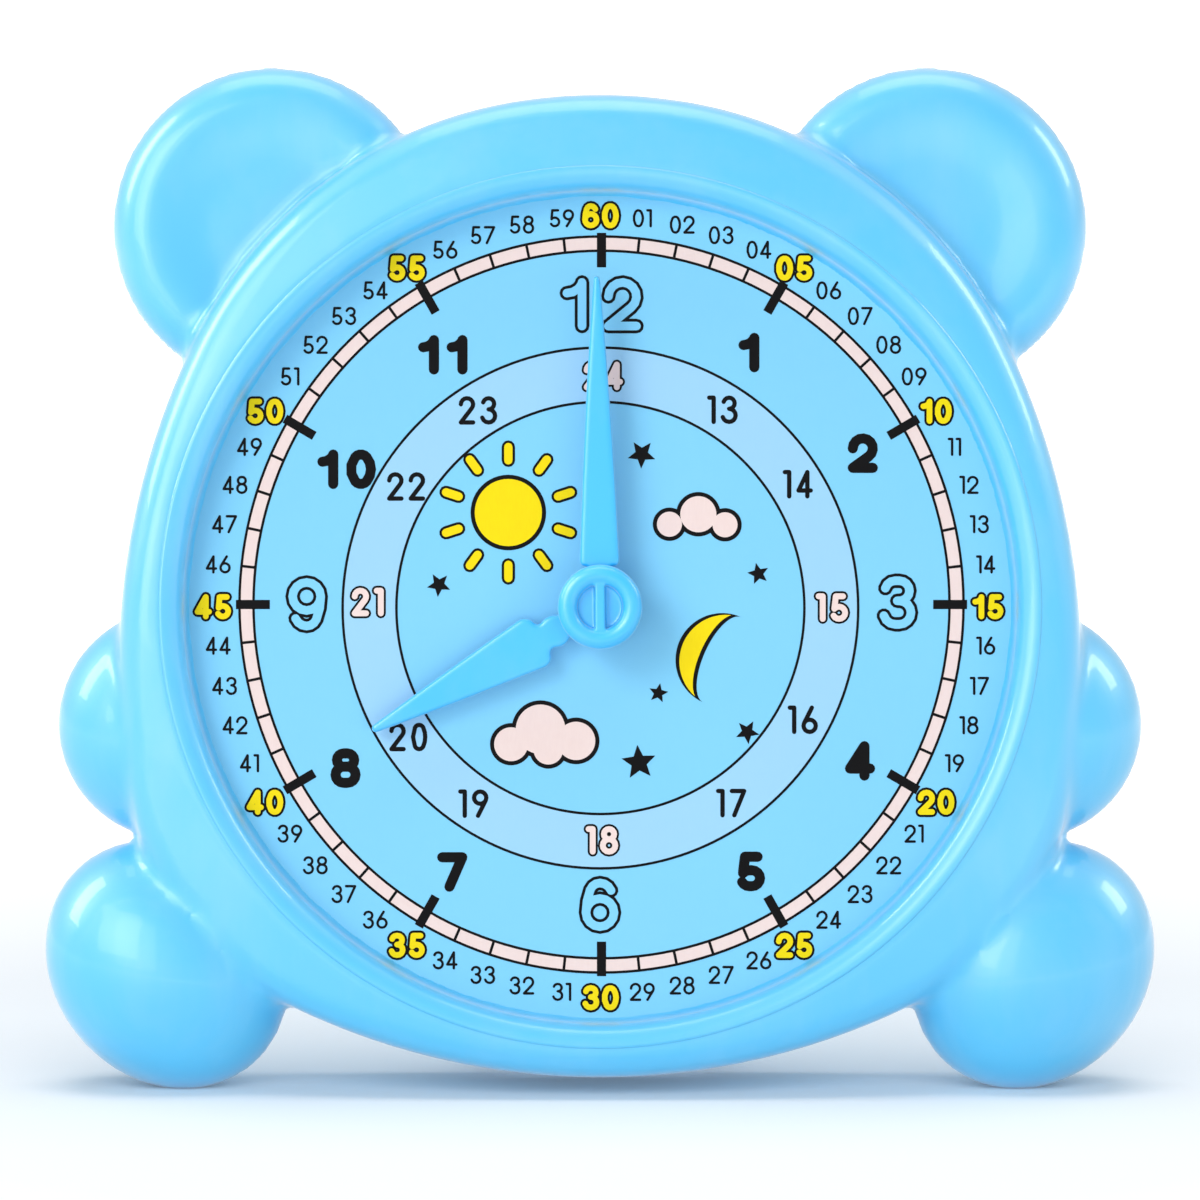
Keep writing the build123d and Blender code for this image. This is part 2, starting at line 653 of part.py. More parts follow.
# ---------------------------------------------------------------- assembly
def clock():
    return {
        "front_shell": front_shell(),
        "rear_cover": rear_cover(),
        "case_screws": case_screws(),
        "dial_sheet": dial_sheet(),
        "hour_bush": hour_bush(),
        "gear_bridge": gear_bridge(),
        "bridge_screws": bridge_screws(),
        "arbor_bush": arbor_bush(),
        "idler_stud": idler_stud(),
        "idler_gear": idler_gear(),
        "hour_wheel": hour_wheel(),
        "hour_hand": hour_hand(),
        "minute_arbor": minute_arbor(),
        "minute_pinion": minute_pinion(),
        "friction_washer": friction_washer(),
        "minute_hand": minute_hand(),
        "hub_cap": hub_cap(),
        "setting_knob": setting_knob(),
        "knob_screw": knob_screw(),
        "stand_leg": stand_leg(),
        "leg_pin": leg_pin(),
    }


def set_down(parts):
    """Leans the clock back and puts the middle of its footprint at the origin, on Z = 0."""
    leaned = {name: Rot(-lean, 0, 0) * part for name, part in parts.items()}
    box = Compound(list(leaned.values())).bounding_box()
    place = Pos(0, -(box.min.Y + box.max.Y) / 2, -box.min.Z)
    return {name: place * part for name, part in leaned.items()}


parts = set_down(clock())
os.makedirs("parts", exist_ok=True)
for name, part in parts.items():
    export_step(part, f"parts/{name}.step")
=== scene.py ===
"""The looks of the geared teaching clock: softened case mouldings, the printed dial, plastics and metals,
and a plain pale studio. Lengths of the print are millimetres on the dial, seen from the front, with the
arbor at 0, 0 and the third number as the height above the card."""

import json
import math

import bmesh
import bpy
from mathutils import Matrix, Vector


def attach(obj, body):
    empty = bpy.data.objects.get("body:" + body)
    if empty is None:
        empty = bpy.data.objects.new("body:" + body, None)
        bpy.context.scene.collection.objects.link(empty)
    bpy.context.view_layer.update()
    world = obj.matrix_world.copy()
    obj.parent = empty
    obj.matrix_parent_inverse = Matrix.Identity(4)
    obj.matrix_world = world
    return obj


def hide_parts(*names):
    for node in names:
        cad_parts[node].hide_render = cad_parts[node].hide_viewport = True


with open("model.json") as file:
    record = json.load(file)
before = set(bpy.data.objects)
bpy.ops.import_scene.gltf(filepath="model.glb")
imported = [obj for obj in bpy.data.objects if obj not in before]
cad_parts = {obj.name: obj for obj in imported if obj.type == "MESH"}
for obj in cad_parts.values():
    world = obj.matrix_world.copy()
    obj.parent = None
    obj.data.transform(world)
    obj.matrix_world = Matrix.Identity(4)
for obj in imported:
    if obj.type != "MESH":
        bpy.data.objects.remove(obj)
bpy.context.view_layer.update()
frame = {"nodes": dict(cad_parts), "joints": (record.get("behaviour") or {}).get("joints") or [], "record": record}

MM = 0.001

# ------------------------------------------------------------------ the dial's own frame
spin = next(joint for joint in frame["joints"] if joint["name"] == "minute_spin")
HUB = Vector(spin["pos_m"])
BACKWARD = Vector(spin["axis"]).normalized()
RIGHT = Vector((1, 0, 0))
UP = RIGHT.cross(BACKWARD)
TURN = Matrix((RIGHT, UP, -BACKWARD)).transposed().to_4x4()
ON_DIAL = Matrix.Translation(HUB) @ TURN @ Matrix.Scale(MM, 4)

# ------------------------------------------------------------------ sizes of the moulded finish
# a pair WITHIN, BEYOND is how far off a true surface a point is still moved onto it, and is left as it is
WELD = 0.00001  # metres, in the CAD nodes
CASE_VOXEL, HAND_VOXEL, CAP_VOXEL = 1.08, 0.28, 0.20
CASE_PASSES, LAST_PASSES, CREASE_PASSES, HAND_PASSES = 3, 1, 7, 4
SMOOTHING = 0.5
CREASE_TURN, CREASE_RINGS = math.radians(7), 2

# how far the parting plane lies behind the card, and how near to it creases are left sharp
PARTING, PARTING_KEPT = 7.0, 3.0
RIM_WITHIN, RIM_BEYOND = 0.45, 0.9

# limbs: middle, half-lengths of the outline, lean of the long one, depth and flat core of the front and back
TRUE_WITHIN, LEFT_BEYOND, LIMB_REACH = 0.30, 0.75, 1.0
LIMBS = (
    ((59.0, 68.5), (28.78, 28.78), 0.0, (7.0, 22.2), (12.0, 0.0)),
    ((76.9, -21.1), (20.8, 20.8), 0.0, (13.5, 0.0), (13.5, 0.0)),
    ((78.1, -64.5), (23.7, 20.6), 49.4, (15.5, 0.0), (15.5, 0.0)),
)

# the dish of an ear: radius of its flat floor and of its crest, and its eased depth
DISH_START, DISH_CREST, DISH_DEPTH = 11.0, 22.2, 1.35
# how far back the cut dish may reach, the share of its depth that stays, and the least facing of its floor
DISH_BACK, DISH_SHARE, DISH_FACING = -4.0, 0.45, 0.5
# where the ears are clear of the lip, and over what length the dish changes there
LIP_CLEAR, LIP_FADE = 87.0, 3.0

# the openings of the rear half, all behind one height: two round ends that may coincide, and their radius
OPENINGS_FROM, OPENING_WITHIN, OPENING_BEYOND = -13.2, 0.65, 1.5
WELL_PLACES, WELL_OF_SCREW = ((54.37, 63.12), (83.90, -23.01), (78.11, -64.50)), 3.3
OPENINGS = (
    *(((side * x, y), (side * x, y), WELL_OF_SCREW) for side in (-1, 1) for x, y in WELL_PLACES),
    ((0.0, 56.0), (0.0, 56.0), 4.2),  # the keyhole, and the slot above it
    ((0.0, 56.0), (0.0, 64.0), 2.2),
)

# the lip's front, a cone that falls outward, and the corner of the well that the card hides
LIP_START, LIP_HEIGHT, LIP_FALL = 79.59, 9.17, math.tan(math.radians(10))
LIP_WITHIN, LIP_BEYOND = 0.12, 0.40
CORNER_RADIUS, CORNER_BAND, CORNER_SINK = 75.3, 1.2, 0.6

# the ring on the lip's inner edge: wall of the well, a quarter round and the start of the lip's front
WELL_RADIUS, CARD_RADIUS, CREST_ROUNDING, CREST_START = 74.9, 74.71, 4.0, 5.20
CREST_TURN, CREST_STEPS, CREST_PROUD = 96.0, 12, 0.03
CREST_WALL, CREST_FOOT = 0.8, -0.3
CREST_RING_STEPS = 240

# ------------------------------------------------------------------ sizes of the print
RING_STEPS, DISC_SEGMENTS, NIB_STEPS, ARC_STEP = 180, 48, 6, 22.5
BAND_INNER, BAND_OUTER, RING_LINE = 36.72, 46.40, 0.46
TRACK_INNER, TRACK_OUTER = 62.64, 65.16
MINUTE_TICK, FIVE_TICK = 0.5, 1.65
FIVE_TICK_INNER, FIVE_TICK_OUTER = 59.7, 65.8
TINT_LEVEL, LINE_LEVEL, EDGE_LEVEL, FILL_LEVEL = 0.03, 0.05, 0.055, 0.09
STROKE_LIFT = 0.004


class Scale:
    """A printed scale: its middle, and how much taller than wide it was printed."""

    def __init__(self, x, y, stretch):
        self.x, self.y, self.stretch = x, y, stretch

    def place(self, radius, degrees):
        angle = math.radians(degrees)
        return self.x + radius * math.sin(angle), self.y + radius * math.cos(angle) * self.stretch

    def matrix(self):
        return Matrix.Translation((self.x, self.y, 0)) @ Matrix.Diagonal((1, self.stretch, 1, 1))


MINUTE_SCALE = Scale(0.27, 0.45, 1.0166)
BAND_SCALE = Scale(0.07, -0.18, 1.010)
MINUTE_NUMBERS = Scale(0.35, 0.35, 1.008)
FIVE_NUMBERS = Scale(0.10, 0.05, 1.009)
MINUTE_RADIUS, FIVE_RADIUS = 69.45, 69.75

# middles of the hour numbers, and of the numbers from 13 to 24 in the band
HOUR_PLACES = {
    "1": (26.8, 45.8), "2": (47.3, 27.7), "3": (53.5, 0.8), "4": (46.8, -27.7),
    "5": (27.1, -47.6), "6": (0.0, -53.6), "7": (-26.6, -47.7), "8": (-45.8, -29.0),
    "9": (-52.8, 0.5), "10": (-45.6, 24.8), "11": (-28.3, 45.4), "12": (0.3, 54.5),
}
DAY_PLACES = {
    "13": (22.0, 35.5), "14": (35.6, 22.1), "15": (41.7, -0.1), "16": (36.5, -20.3),
    "17": (23.6, -35.3), "18": (0.3, -42.0), "19": (-22.8, -35.4), "20": (-34.5, -23.4),
    "21": (-41.8, 0.9), "22": (-34.9, 21.7), "23": (-22.0, 35.4), "24": (0.6, 41.6),
}


class Lettering:
    """A size of number: height and width between the middles of its strokes, pen, black edge and gap."""

    def __init__(self, height, width, pen, edge, gap, level, hooked=False):
        self.height, self.width, self.pen, self.edge = height, width, pen, edge
        self.gap, self.level, self.hooked = gap, level, hooked


MINUTES = Lettering(2.84, 1.62, 0.45, 0.0, 0.38, LINE_LEVEL)
FIVES = Lettering(3.50, 2.07, 1.02, 0.42, 0.42, FILL_LEVEL, hooked=True)
HOURS = Lettering(5.30, 3.60, 1.84, 0.0, 1.35, LINE_LEVEL, hooked=True)
QUARTERS = Lettering(7.85, 5.05, 1.55, 0.54, 3.20, FILL_LEVEL, hooked=True)
DAY_HOURS = Lettering(4.36, 2.20, 0.80, 0.0, 0.88, LINE_LEVEL)
DAY_QUARTERS = Lettering(4.07, 2.05, 1.06, 0.38, 0.85, FILL_LEVEL)


# ------------------------------------------------------------------ colours
def srgb(*colour):
    """A colour as it looks on screen, 0 to 255, as the light value that a shader takes."""
    levels = [level / 255 for level in colour]
    return (*(((c + 0.055) / 1.055) ** 2.4 if c > 0.04045 else c / 12.92 for c in levels), 1)


SKY_BLUE = srgb(24, 194, 249)
HAND_BLUE = srgb(6, 180, 240)
CARD_BLUE = srgb(124, 200, 237)
BAND_TINT = srgb(150, 202, 236)
INK_BLACK = srgb(9, 9, 11)
INK_YELLOW = srgb(243, 220, 8)
INK_PALE = srgb(235, 216, 211)
ACETAL_WHITE = srgb(236, 235, 226)
ACETAL_GREY = srgb(150, 155, 162)
STEEL = srgb(196, 198, 202)
BLUED_STEEL = srgb(112, 116, 128)
ZINC = srgb(205, 206, 200)
CLOUD_TINT, FLOW_TINT = (0.62, 0.80, 0.93, 1), (1, 1, 1, 1)


# ------------------------------------------------------------------ shader helpers
def add_node(tree, kind, **settings):
    made = tree.nodes.new(kind)
    for name, value in settings.items():
        setattr(made, name, value)
    return made


def new_group(name, inputs, outputs):
    """A shader group with its named sockets: inputs are (name, kind, value), outputs (name, kind)."""
    group = bpy.data.node_groups.new(name, "ShaderNodeTree")
    for label, kind, value in inputs:
        group.interface.new_socket(label, in_out="INPUT", socket_type=kind).default_value = value
    for label, kind in outputs:
        group.interface.new_socket(label, in_out="OUTPUT", socket_type=kind)
    return group, add_node(group, "NodeGroupInput"), add_node(group, "NodeGroupOutput")


def noise(tree, place, scale, detail=2.0, roughness=0.5):
    """Noise at a place, with either a number or another node's output as its scale."""
    made = add_node(tree, "ShaderNodeTexNoise")
    tree.links.new(place, made.inputs["Vector"])
    if isinstance(scale, (int, float)):
        made.inputs["Scale"].default_value = scale
    else:
        tree.links.new(scale, made.inputs["Scale"])
    made.inputs["Detail"].default_value = detail
    made.inputs["Roughness"].default_value = roughness
    return made.outputs["Fac"]


def spread(tree, value, low, high, out_low, out_high):
    """Maps a value's range onto another, and stops at its ends."""
    made = add_node(tree, "ShaderNodeMapRange", clamp=True)
    tree.links.new(value, made.inputs["Value"])
    made.inputs["From Min"].default_value = low
    made.inputs["From Max"].default_value = high
    for label, end in (("To Min", out_low), ("To Max", out_high)):
        if isinstance(end, (int, float)):
            made.inputs[label].default_value = end
        else:
            tree.links.new(end, made.inputs[label])
    return made.outputs["Result"]


def mixed(tree, share, first, second, blend="MIX"):
    made = add_node(tree, "ShaderNodeMix", data_type="RGBA", blend_type=blend)
    if isinstance(share, (int, float)):
        made.inputs["Factor"].default_value = share
    else:
        tree.links.new(share, made.inputs["Factor"])
    for label, colour in (("A", first), ("B", second)):
        socket = [s for s in made.inputs if s.name == label and s.type == "RGBA"][0]
        if isinstance(colour, tuple):
            socket.default_value = colour
        else:
            tree.links.new(colour, socket)
    return [s for s in made.outputs if s.type == "RGBA"][0]


def math_node(tree, operation, first, second):
    made = add_node(tree, "ShaderNodeMath", operation=operation)
    for socket, value in zip(made.inputs, (first, second)):
        if isinstance(value, (int, float)):
            socket.default_value = value
        else:
            tree.links.new(value, socket)
    return made.outputs[0]


def bumped(tree, height, strength, distance):
    made = add_node(tree, "ShaderNodeBump")
    tree.links.new(height, made.inputs["Height"])
    made.inputs["Strength"].default_value = strength
    made.inputs["Distance"].default_value = distance
    return made.outputs["Normal"]


def build_moulded_finish():
    """Moulded plastic: slow changes of shade, faint flow marks, handling haze and a very fine grain."""
    group, into, out = new_group(
        "moulded_finish",
        [
            ("Colour", "NodeSocketColor", SKY_BLUE),
            ("Roughness", "NodeSocketFloat", 0.2),
            ("Grain", "NodeSocketFloat", 1400.0),
        ],
        [("Colour", "NodeSocketColor"), ("Roughness", "NodeSocketFloat"), ("Normal", "NodeSocketVector")],
    )
    place = add_node(group, "ShaderNodeTexCoord").outputs["Object"]
    cloud = noise(group, place, 14.0, 3.0)
    clouded = spread(group, cloud, 0.35, 0.7, 0.0, 0.16)
    shade = mixed(group, clouded, into.outputs["Colour"], CLOUD_TINT, "MULTIPLY")
    stretch = add_node(group, "ShaderNodeMapping")
    stretch.inputs["Scale"].default_value = (1.0, 3.0, 0.35)
    group.links.new(place, stretch.inputs["Vector"])
    flow = noise(group, stretch.outputs["Vector"], 60.0, 4.0, 0.6)
    shade = mixed(group, spread(group, flow, 0.45, 0.75, 0.0, 0.05), shade, FLOW_TINT)
    haze = noise(group, place, 38.0, 5.0, 0.62)
    more = math_node(group, "ADD", into.outputs["Roughness"], 0.07)
    grain = noise(group, place, into.outputs["Grain"], 2.0)
    waves = noise(group, place, 150.0, 1.0)
    height = math_node(group, "ADD", math_node(group, "MULTIPLY", grain, 0.25), waves)
    group.links.new(shade, out.inputs["Colour"])
    group.links.new(spread(group, haze, 0.4, 0.72, into.outputs["Roughness"], more), out.inputs["Roughness"])
    group.links.new(bumped(group, height, 0.10, 0.00012), out.inputs["Normal"])
    return group


def build_printed_ink():
    """Screen-printed ink: slightly uneven cover and gloss, and a faint streak of the squeegee."""
    group, into, out = new_group(
        "printed_ink",
        [
            ("Colour", "NodeSocketColor", INK_BLACK),
            ("Thin colour", "NodeSocketColor", INK_BLACK),
            ("Cover", "NodeSocketFloat", 0.3),
        ],
        [("Colour", "NodeSocketColor"), ("Roughness", "NodeSocketFloat"), ("Normal", "NodeSocketVector")],
    )
    place = add_node(group, "ShaderNodeTexCoord").outputs["Object"]
    stretch = add_node(group, "ShaderNodeMapping")
    stretch.inputs["Scale"].default_value = (1.0, 1.0, 0.08)
    group.links.new(place, stretch.inputs["Vector"])
    streak = noise(group, stretch.outputs["Vector"], 2600.0, 3.0, 0.6)
    mottle = noise(group, place, 420.0, 3.0)
    thin = math_node(group, "MULTIPLY", math_node(group, "ADD", streak, mottle), into.outputs["Cover"])
    cover = mixed(group, thin, into.outputs["Colour"], into.outputs["Thin colour"])
    group.links.new(cover, out.inputs["Colour"])
    group.links.new(spread(group, mottle, 0.3, 0.7, 0.30, 0.42), out.inputs["Roughness"])
    group.links.new(bumped(group, mottle, 0.10, 0.00005), out.inputs["Normal"])
    return group


def build_metal_finish():
    """Worked metal: fine marks drawn out one way, and dull patches."""
    group, into, out = new_group(
        "metal_finish",
        [
            ("Colour", "NodeSocketColor", STEEL),
            ("Dull colour", "NodeSocketColor", BLUED_STEEL),
            ("Roughness", "NodeSocketFloat", 0.3),
        ],
        [("Colour", "NodeSocketColor"), ("Roughness", "NodeSocketFloat"), ("Normal", "NodeSocketVector")],
    )
    place = add_node(group, "ShaderNodeTexCoord").outputs["Object"]
    stretch = add_node(group, "ShaderNodeMapping")
    stretch.inputs["Scale"].default_value = (1.0, 12.0, 1.0)
    group.links.new(place, stretch.inputs["Vector"])
    marks = noise(group, stretch.outputs["Vector"], 700.0, 4.0, 0.65)
    patch = noise(group, place, 260.0, 3.0)
    dulled = spread(group, patch, 0.4, 0.7, 0.0, 0.35)
    shade = mixed(group, dulled, into.outputs["Colour"], into.outputs["Dull colour"])
    group.links.new(shade, out.inputs["Colour"])
    more = math_node(group, "ADD", into.outputs["Roughness"], 0.18)
    group.links.new(spread(group, marks, 0.3, 0.7, into.outputs["Roughness"], more), out.inputs["Roughness"])
    group.links.new(bumped(group, marks, 0.2, 0.00005), out.inputs["Normal"])
    return group


MOULDED_FINISH = build_moulded_finish()
PRINTED_INK = build_printed_ink()
METAL_FINISH = build_metal_finish()


def finished(name, group, values, **constants):
    """A material whose colour, roughness and normal come from a finish, with the rest set on the shader."""
    material = bpy.data.materials.new(name)
    material.use_nodes = True
    tree = material.node_tree
    shader = tree.nodes["Principled BSDF"]
    finish = add_node(tree, "ShaderNodeGroup", node_tree=group)
    for label, value in values.items():
        finish.inputs[label].default_value = value
    for label, value in constants.items():
        shader.inputs[label.replace("_", " ")].default_value = value
    tree.links.new(finish.outputs["Colour"], shader.inputs["Base Color"])
    tree.links.new(finish.outputs["Roughness"], shader.inputs["Roughness"])
    tree.links.new(finish.outputs["Normal"], shader.inputs["Normal"])
    return material


def plastic(name, colour, roughness, grain=1400.0, **constants):
    values = {"Colour": colour, "Roughness": roughness, "Grain": grain}
    return finished(name, MOULDED_FINISH, values, **constants)


def ink(name, colour, thin, cover, **constants):
    return finished(name, PRINTED_INK, {"Colour": colour, "Thin colour": thin, "Cover": cover}, **constants)


def metal(name, colour, dull, roughness):
    values = {"Colour": colour, "Dull colour": dull, "Roughness": roughness}
    return finished(name, METAL_FINISH, values, Metallic=1.0)


CASE_PLASTIC = plastic(
    "case_gloss_plastic", SKY_BLUE, 0.40, IOR=1.72, Specular_IOR_Level=1.0,
    Coat_Weight=0.7, Coat_Roughness=0.06, Sheen_Weight=0.45, Sheen_Roughness=0.5,
)
HAND_PLASTIC = plastic(
    "hand_gloss_plastic", HAND_BLUE, 0.34, IOR=1.55, Specular_IOR_Level=0.9,
    Coat_Weight=0.4, Coat_Roughness=0.08, Sheen_Weight=0.35, Sheen_Roughness=0.5,
)
GEAR_PLASTIC = plastic("gear_acetal", ACETAL_WHITE, 0.38, 900.0, IOR=1.48)
BUSH_PLASTIC = plastic("bush_acetal", ACETAL_GREY, 0.42, 900.0, IOR=1.48)
CARD = ink("laminated_card", CARD_BLUE, srgb(133, 205, 241), 0.25, Specular_IOR_Level=0.2)
BAND_INK = ink("band_tint_ink", BAND_TINT, srgb(158, 206, 238), 0.3, Specular_IOR_Level=0.2)
BLACK_INK = ink("black_ink", INK_BLACK, srgb(16, 16, 18), 0.3, Specular_IOR_Level=0.08)
YELLOW_INK = ink("yellow_ink", INK_YELLOW, srgb(232, 201, 0), 0.45, Specular_IOR_Level=0.2)
PALE_INK = ink("pale_ink", INK_PALE, srgb(224, 201, 197), 0.45, Specular_IOR_Level=0.2)
GROUND_STEEL = metal("ground_steel", STEEL, srgb(160, 163, 170), 0.22)
SPRING_STEEL = metal("spring_steel", BLUED_STEEL, srgb(84, 88, 104), 0.34)
ZINC_PLATE = metal("zinc_plate", ZINC, srgb(176, 178, 170), 0.3)

FINISH_OF_SLOT = {
    "case_blue": CASE_PLASTIC,
    "hand_blue": HAND_PLASTIC,
    "dial_print": CARD,
    "gear_white": GEAR_PLASTIC,
    "bush_grey": BUSH_PLASTIC,
    "steel": GROUND_STEEL,
    "spring_steel": SPRING_STEEL,
    "zinc_screw": ZINC_PLATE,
}


# ------------------------------------------------------------------ pieces
def shown(name, mesh, material, body):
    """Puts a finished mesh on show as a piece that rides on a body."""
    piece = bpy.data.objects.new(name, mesh)
    bpy.context.scene.collection.objects.link(piece)
    mesh.materials.clear()
    mesh.materials.append(material)
    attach(piece, body)
    return piece


def applied(piece):
    """The mesh that a piece has with its modifiers applied."""
    bpy.context.view_layer.update()
    ready = piece.evaluated_get(bpy.context.evaluated_depsgraph_get())
    return bpy.data.meshes.new_from_object(ready)


def even_copy(node, voxel):
    """A CAD node's shape on an even mesh, fine enough to be smoothed. In the dial's frame."""
    shape = bmesh.new()
    shape.from_mesh(frame["nodes"][node].data)
    bmesh.ops.remove_doubles(shape, verts=shape.verts, dist=WELD)
    bmesh.ops.transform(shape, matrix=ON_DIAL.inverted(), verts=shape.verts)
    mesh = bpy.data.meshes.new(node + "_merged")
    shape.to_mesh(mesh)
    shape.free()
    holder = bpy.data.objects.new(node + "_holder", mesh)
    bpy.context.scene.collection.objects.link(holder)
    evener = holder.modifiers.new("even", "REMESH")
    evener.mode, evener.voxel_size = "VOXEL", voxel
    made = applied(holder)
    bpy.data.objects.remove(holder)
    return made


def pull_of(off, within, beyond):
    """How much of the way onto a true surface a point moves that lies that far off it."""
    return min(1.0, max(0.0, (beyond - abs(off)) / (beyond - within)))


def trued(point, limb, side):
    """A point near a limb's rounded surface, moved onto it."""
    (x, y), (half_long, half_short), lean, front, back = limb
    depth, core = front if point.z > -PARTING else back
    turn = math.radians(side * lean)
    flat = Matrix.Rotation(-turn, 2) @ Vector((point.x - side * x, point.y - y))
    flat.y *= half_long / half_short
    out, deep = flat.length - core, point.z + PARTING
    if out <= 0:
        return point
    share = math.hypot(out / (half_long - core), deep / depth)
    off = abs(share - 1) * min(half_long - core, depth)
    pull = pull_of(off, TRUE_WITHIN, LEFT_BEYOND)
    if not pull:
        return point
    place = flat.normalized() * (core + out / share)
    place.y *= half_short / half_long
    place = Matrix.Rotation(turn, 2) @ place
    true = Vector((side * x + place.x, y + place.y, deep / share - PARTING))
    return point.lerp(true, pull)


def eased_dish(vert, side):
    """A point of an ear's dish, with one long slope down to a shallower floor where it is clear of the lip."""
    point = vert.co
    radius = (point.xy - Vector((side * LIMBS[0][0][0], LIMBS[0][0][1]))).length
    if radius > DISH_CREST or not DISH_BACK < point.z < 0:
        return point
    fall = min(1.0, (DISH_CREST - radius) / (DISH_CREST - DISH_START))
    sloped = -DISH_DEPTH * fall * fall * (3 - 2 * fall)
    clear = min(1.0, max(0.0, (point.xy.length - LIP_CLEAR) / LIP_FADE)) if vert.normal.z > DISH_FACING else 0.0
    shallow = point.z * DISH_SHARE
    return Vector((point.x, point.y, shallow + clear * (sloped - shallow)))


def trued_lip(point):
    """A point of the lip's front, moved onto its cone, or one of the well's corner, sunk under the card."""
    out = point.xy.length
    if out < CORNER_RADIUS and abs(point.z) < CORNER_BAND:
        return Vector((point.x, point.y, point.z - CORNER_SINK))
    if out < LIP_START:
        return point
    true = LIP_HEIGHT - (out - LIP_START) * LIP_FALL
    pull = pull_of(point.z - true, LIP_WITHIN, LIP_BEYOND)
    return Vector((point.x, point.y, point.z + pull * (true - point.z)))


def trued_opening(point):
    """A point near the wall of an opening in the rear half, moved onto it."""
    if point.z > OPENINGS_FROM:
        return point
    nearest = None
    for start, end, radius in OPENINGS:
        foot = Vector((start[0], min(max(point.y, start[1]), end[1])))
        away = point.xy - foot
        off = away.length - radius
        if nearest is None or off < nearest[0]:
            nearest = off, away
    off, away = nearest
    pull = pull_of(off, OPENING_WITHIN, OPENING_BEYOND)
    return point - Vector((*away.normalized(), 0)) * off * pull


def closed_rim(point):
    """A point near the parting plane, moved onto it, so that the two halves meet."""
    off = point.z + PARTING
    pull = pull_of(off, RIM_WITHIN, RIM_BEYOND)
    return Vector((point.x, point.y, point.z - off * pull))


def smoothed(shape, passes, verts=None):
    for _ in range(passes):
        bmesh.ops.smooth_vert(
            shape, verts=verts or shape.verts, factor=SMOOTHING,
            use_axis_x=True, use_axis_y=True, use_axis_z=True,
        )


def true_case(shape):
    """Takes the facets out of the lip, the limbs and the openings, and eases dishes and creases."""
    shape.normal_update()
    for vert in shape.verts:
        side = 1 if vert.co.x > 0 else -1
        for limb in LIMBS:
            if (vert.co.xy - Vector((side * limb[0][0], limb[0][1]))).length < limb[1][0] + LIMB_REACH:
                vert.co = trued(vert.co, limb, side)
        vert.co = trued_lip(eased_dish(vert, side))
    smoothed(shape, LAST_PASSES)
    ease_creases(shape)
    for vert in shape.verts:
        vert.co = closed_rim(trued_opening(vert.co))


def ease_creases(shape):
    """Evens out the hollow creases, where a limb meets the case, away from the parting."""
    shape.normal_update()
    creased = set()
    for edge in shape.edges:
        away = min(abs(vert.co.z + PARTING) for vert in edge.verts)
        if away > PARTING_KEPT and edge.calc_face_angle_signed(0) < -CREASE_TURN:
            creased.update(edge.verts)
    for _ in range(CREASE_RINGS):
        creased |= {edge.other_vert(vert) for vert in creased for edge in vert.link_edges}
    smoothed(shape, CREASE_PASSES, list(creased))


def soft_moulding(node, name, material, body, voxel, passes, is_case=False):
    """A moulding with its edges and creases eased, as the mould's polish leaves them, and none of it sunk in
    the floor."""
    mesh = even_copy(node, voxel)
    shape = bmesh.new()
    shape.from_mesh(mesh)
    smoothed(shape, passes)
    if is_case:
        true_case(shape)
    bmesh.ops.transform(shape, matrix=ON_DIAL, verts=shape.verts)
    for vert in shape.verts:
        vert.co.z = max(vert.co.z, 0.0)
    for face in shape.faces:
        face.smooth = True
    shape.to_mesh(mesh)
    shape.free()
    piece = shown(name, mesh, material, body)
    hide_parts(node)
    return piece


def lip_crest():
    """The lip's inner edge, turned as one closed ring that covers the moulding's edge by a hair."""
    shape = bmesh.new()
    turns = [math.radians(180 - CREST_TURN * step / CREST_STEPS) for step in range(CREST_STEPS + 1)]
    arcs = []
    for radius in (CREST_ROUNDING + CREST_PROUD, CREST_ROUNDING - CREST_WALL):
        middle = WELL_RADIUS + CREST_ROUNDING
        arcs.append([(middle + radius * math.cos(t), CREST_START + radius * math.sin(t)) for t in turns])
    front, back = arcs[0], arcs[1][::-1]
    foot = [
        (WELL_RADIUS + CREST_WALL, CREST_FOOT), (CARD_RADIUS, CREST_FOOT),
        (CARD_RADIUS, 0.0), (WELL_RADIUS - CREST_PROUD, 0.0),
    ]
    verts = [shape.verts.new((out, 0, height)) for out, height in front + back + foot]
    for pair in zip(verts, verts[1:] + verts[:1]):
        shape.edges.new(pair)
    bmesh.ops.spin(
        shape, geom=[*shape.verts, *shape.edges], cent=(0, 0, 0), axis=(0, 0, 1), dvec=(0, 0, 0),
        angle=2 * math.pi, steps=CREST_RING_STEPS, use_merge=True, use_duplicate=False,
    )
    bmesh.ops.recalc_face_normals(shape, faces=shape.faces)
    for face in shape.faces:
        face.smooth = True
    bmesh.ops.transform(shape, matrix=ON_DIAL, verts=shape.verts)
    mesh = bpy.data.meshes.new("lip_crest")
    shape.to_mesh(mesh)
    shape.free()
    return shown("lip_crest", mesh, CASE_PLASTIC, "case")


# ------------------------------------------------------------------ print: shapes on the dial
def flat_ring(shape, scale, inner, outer):
    """A flat ring round the middle of a scale."""
    start = [shape.verts.new((radius, 0, 0)) for radius in (inner, outer)]
    edge = shape.edges.new(start)
    before = set(shape.verts) - set(start)
    bmesh.ops.spin(
        shape, geom=[*start, edge], cent=(0, 0, 0), axis=(0, 0, 1), dvec=(0, 0, 0),
        angle=2 * math.pi, steps=RING_STEPS, use_merge=True, use_duplicate=False,
    )
    new = [vert for vert in shape.verts if vert not in before]
    bmesh.ops.transform(shape, matrix=scale.matrix(), verts=new)


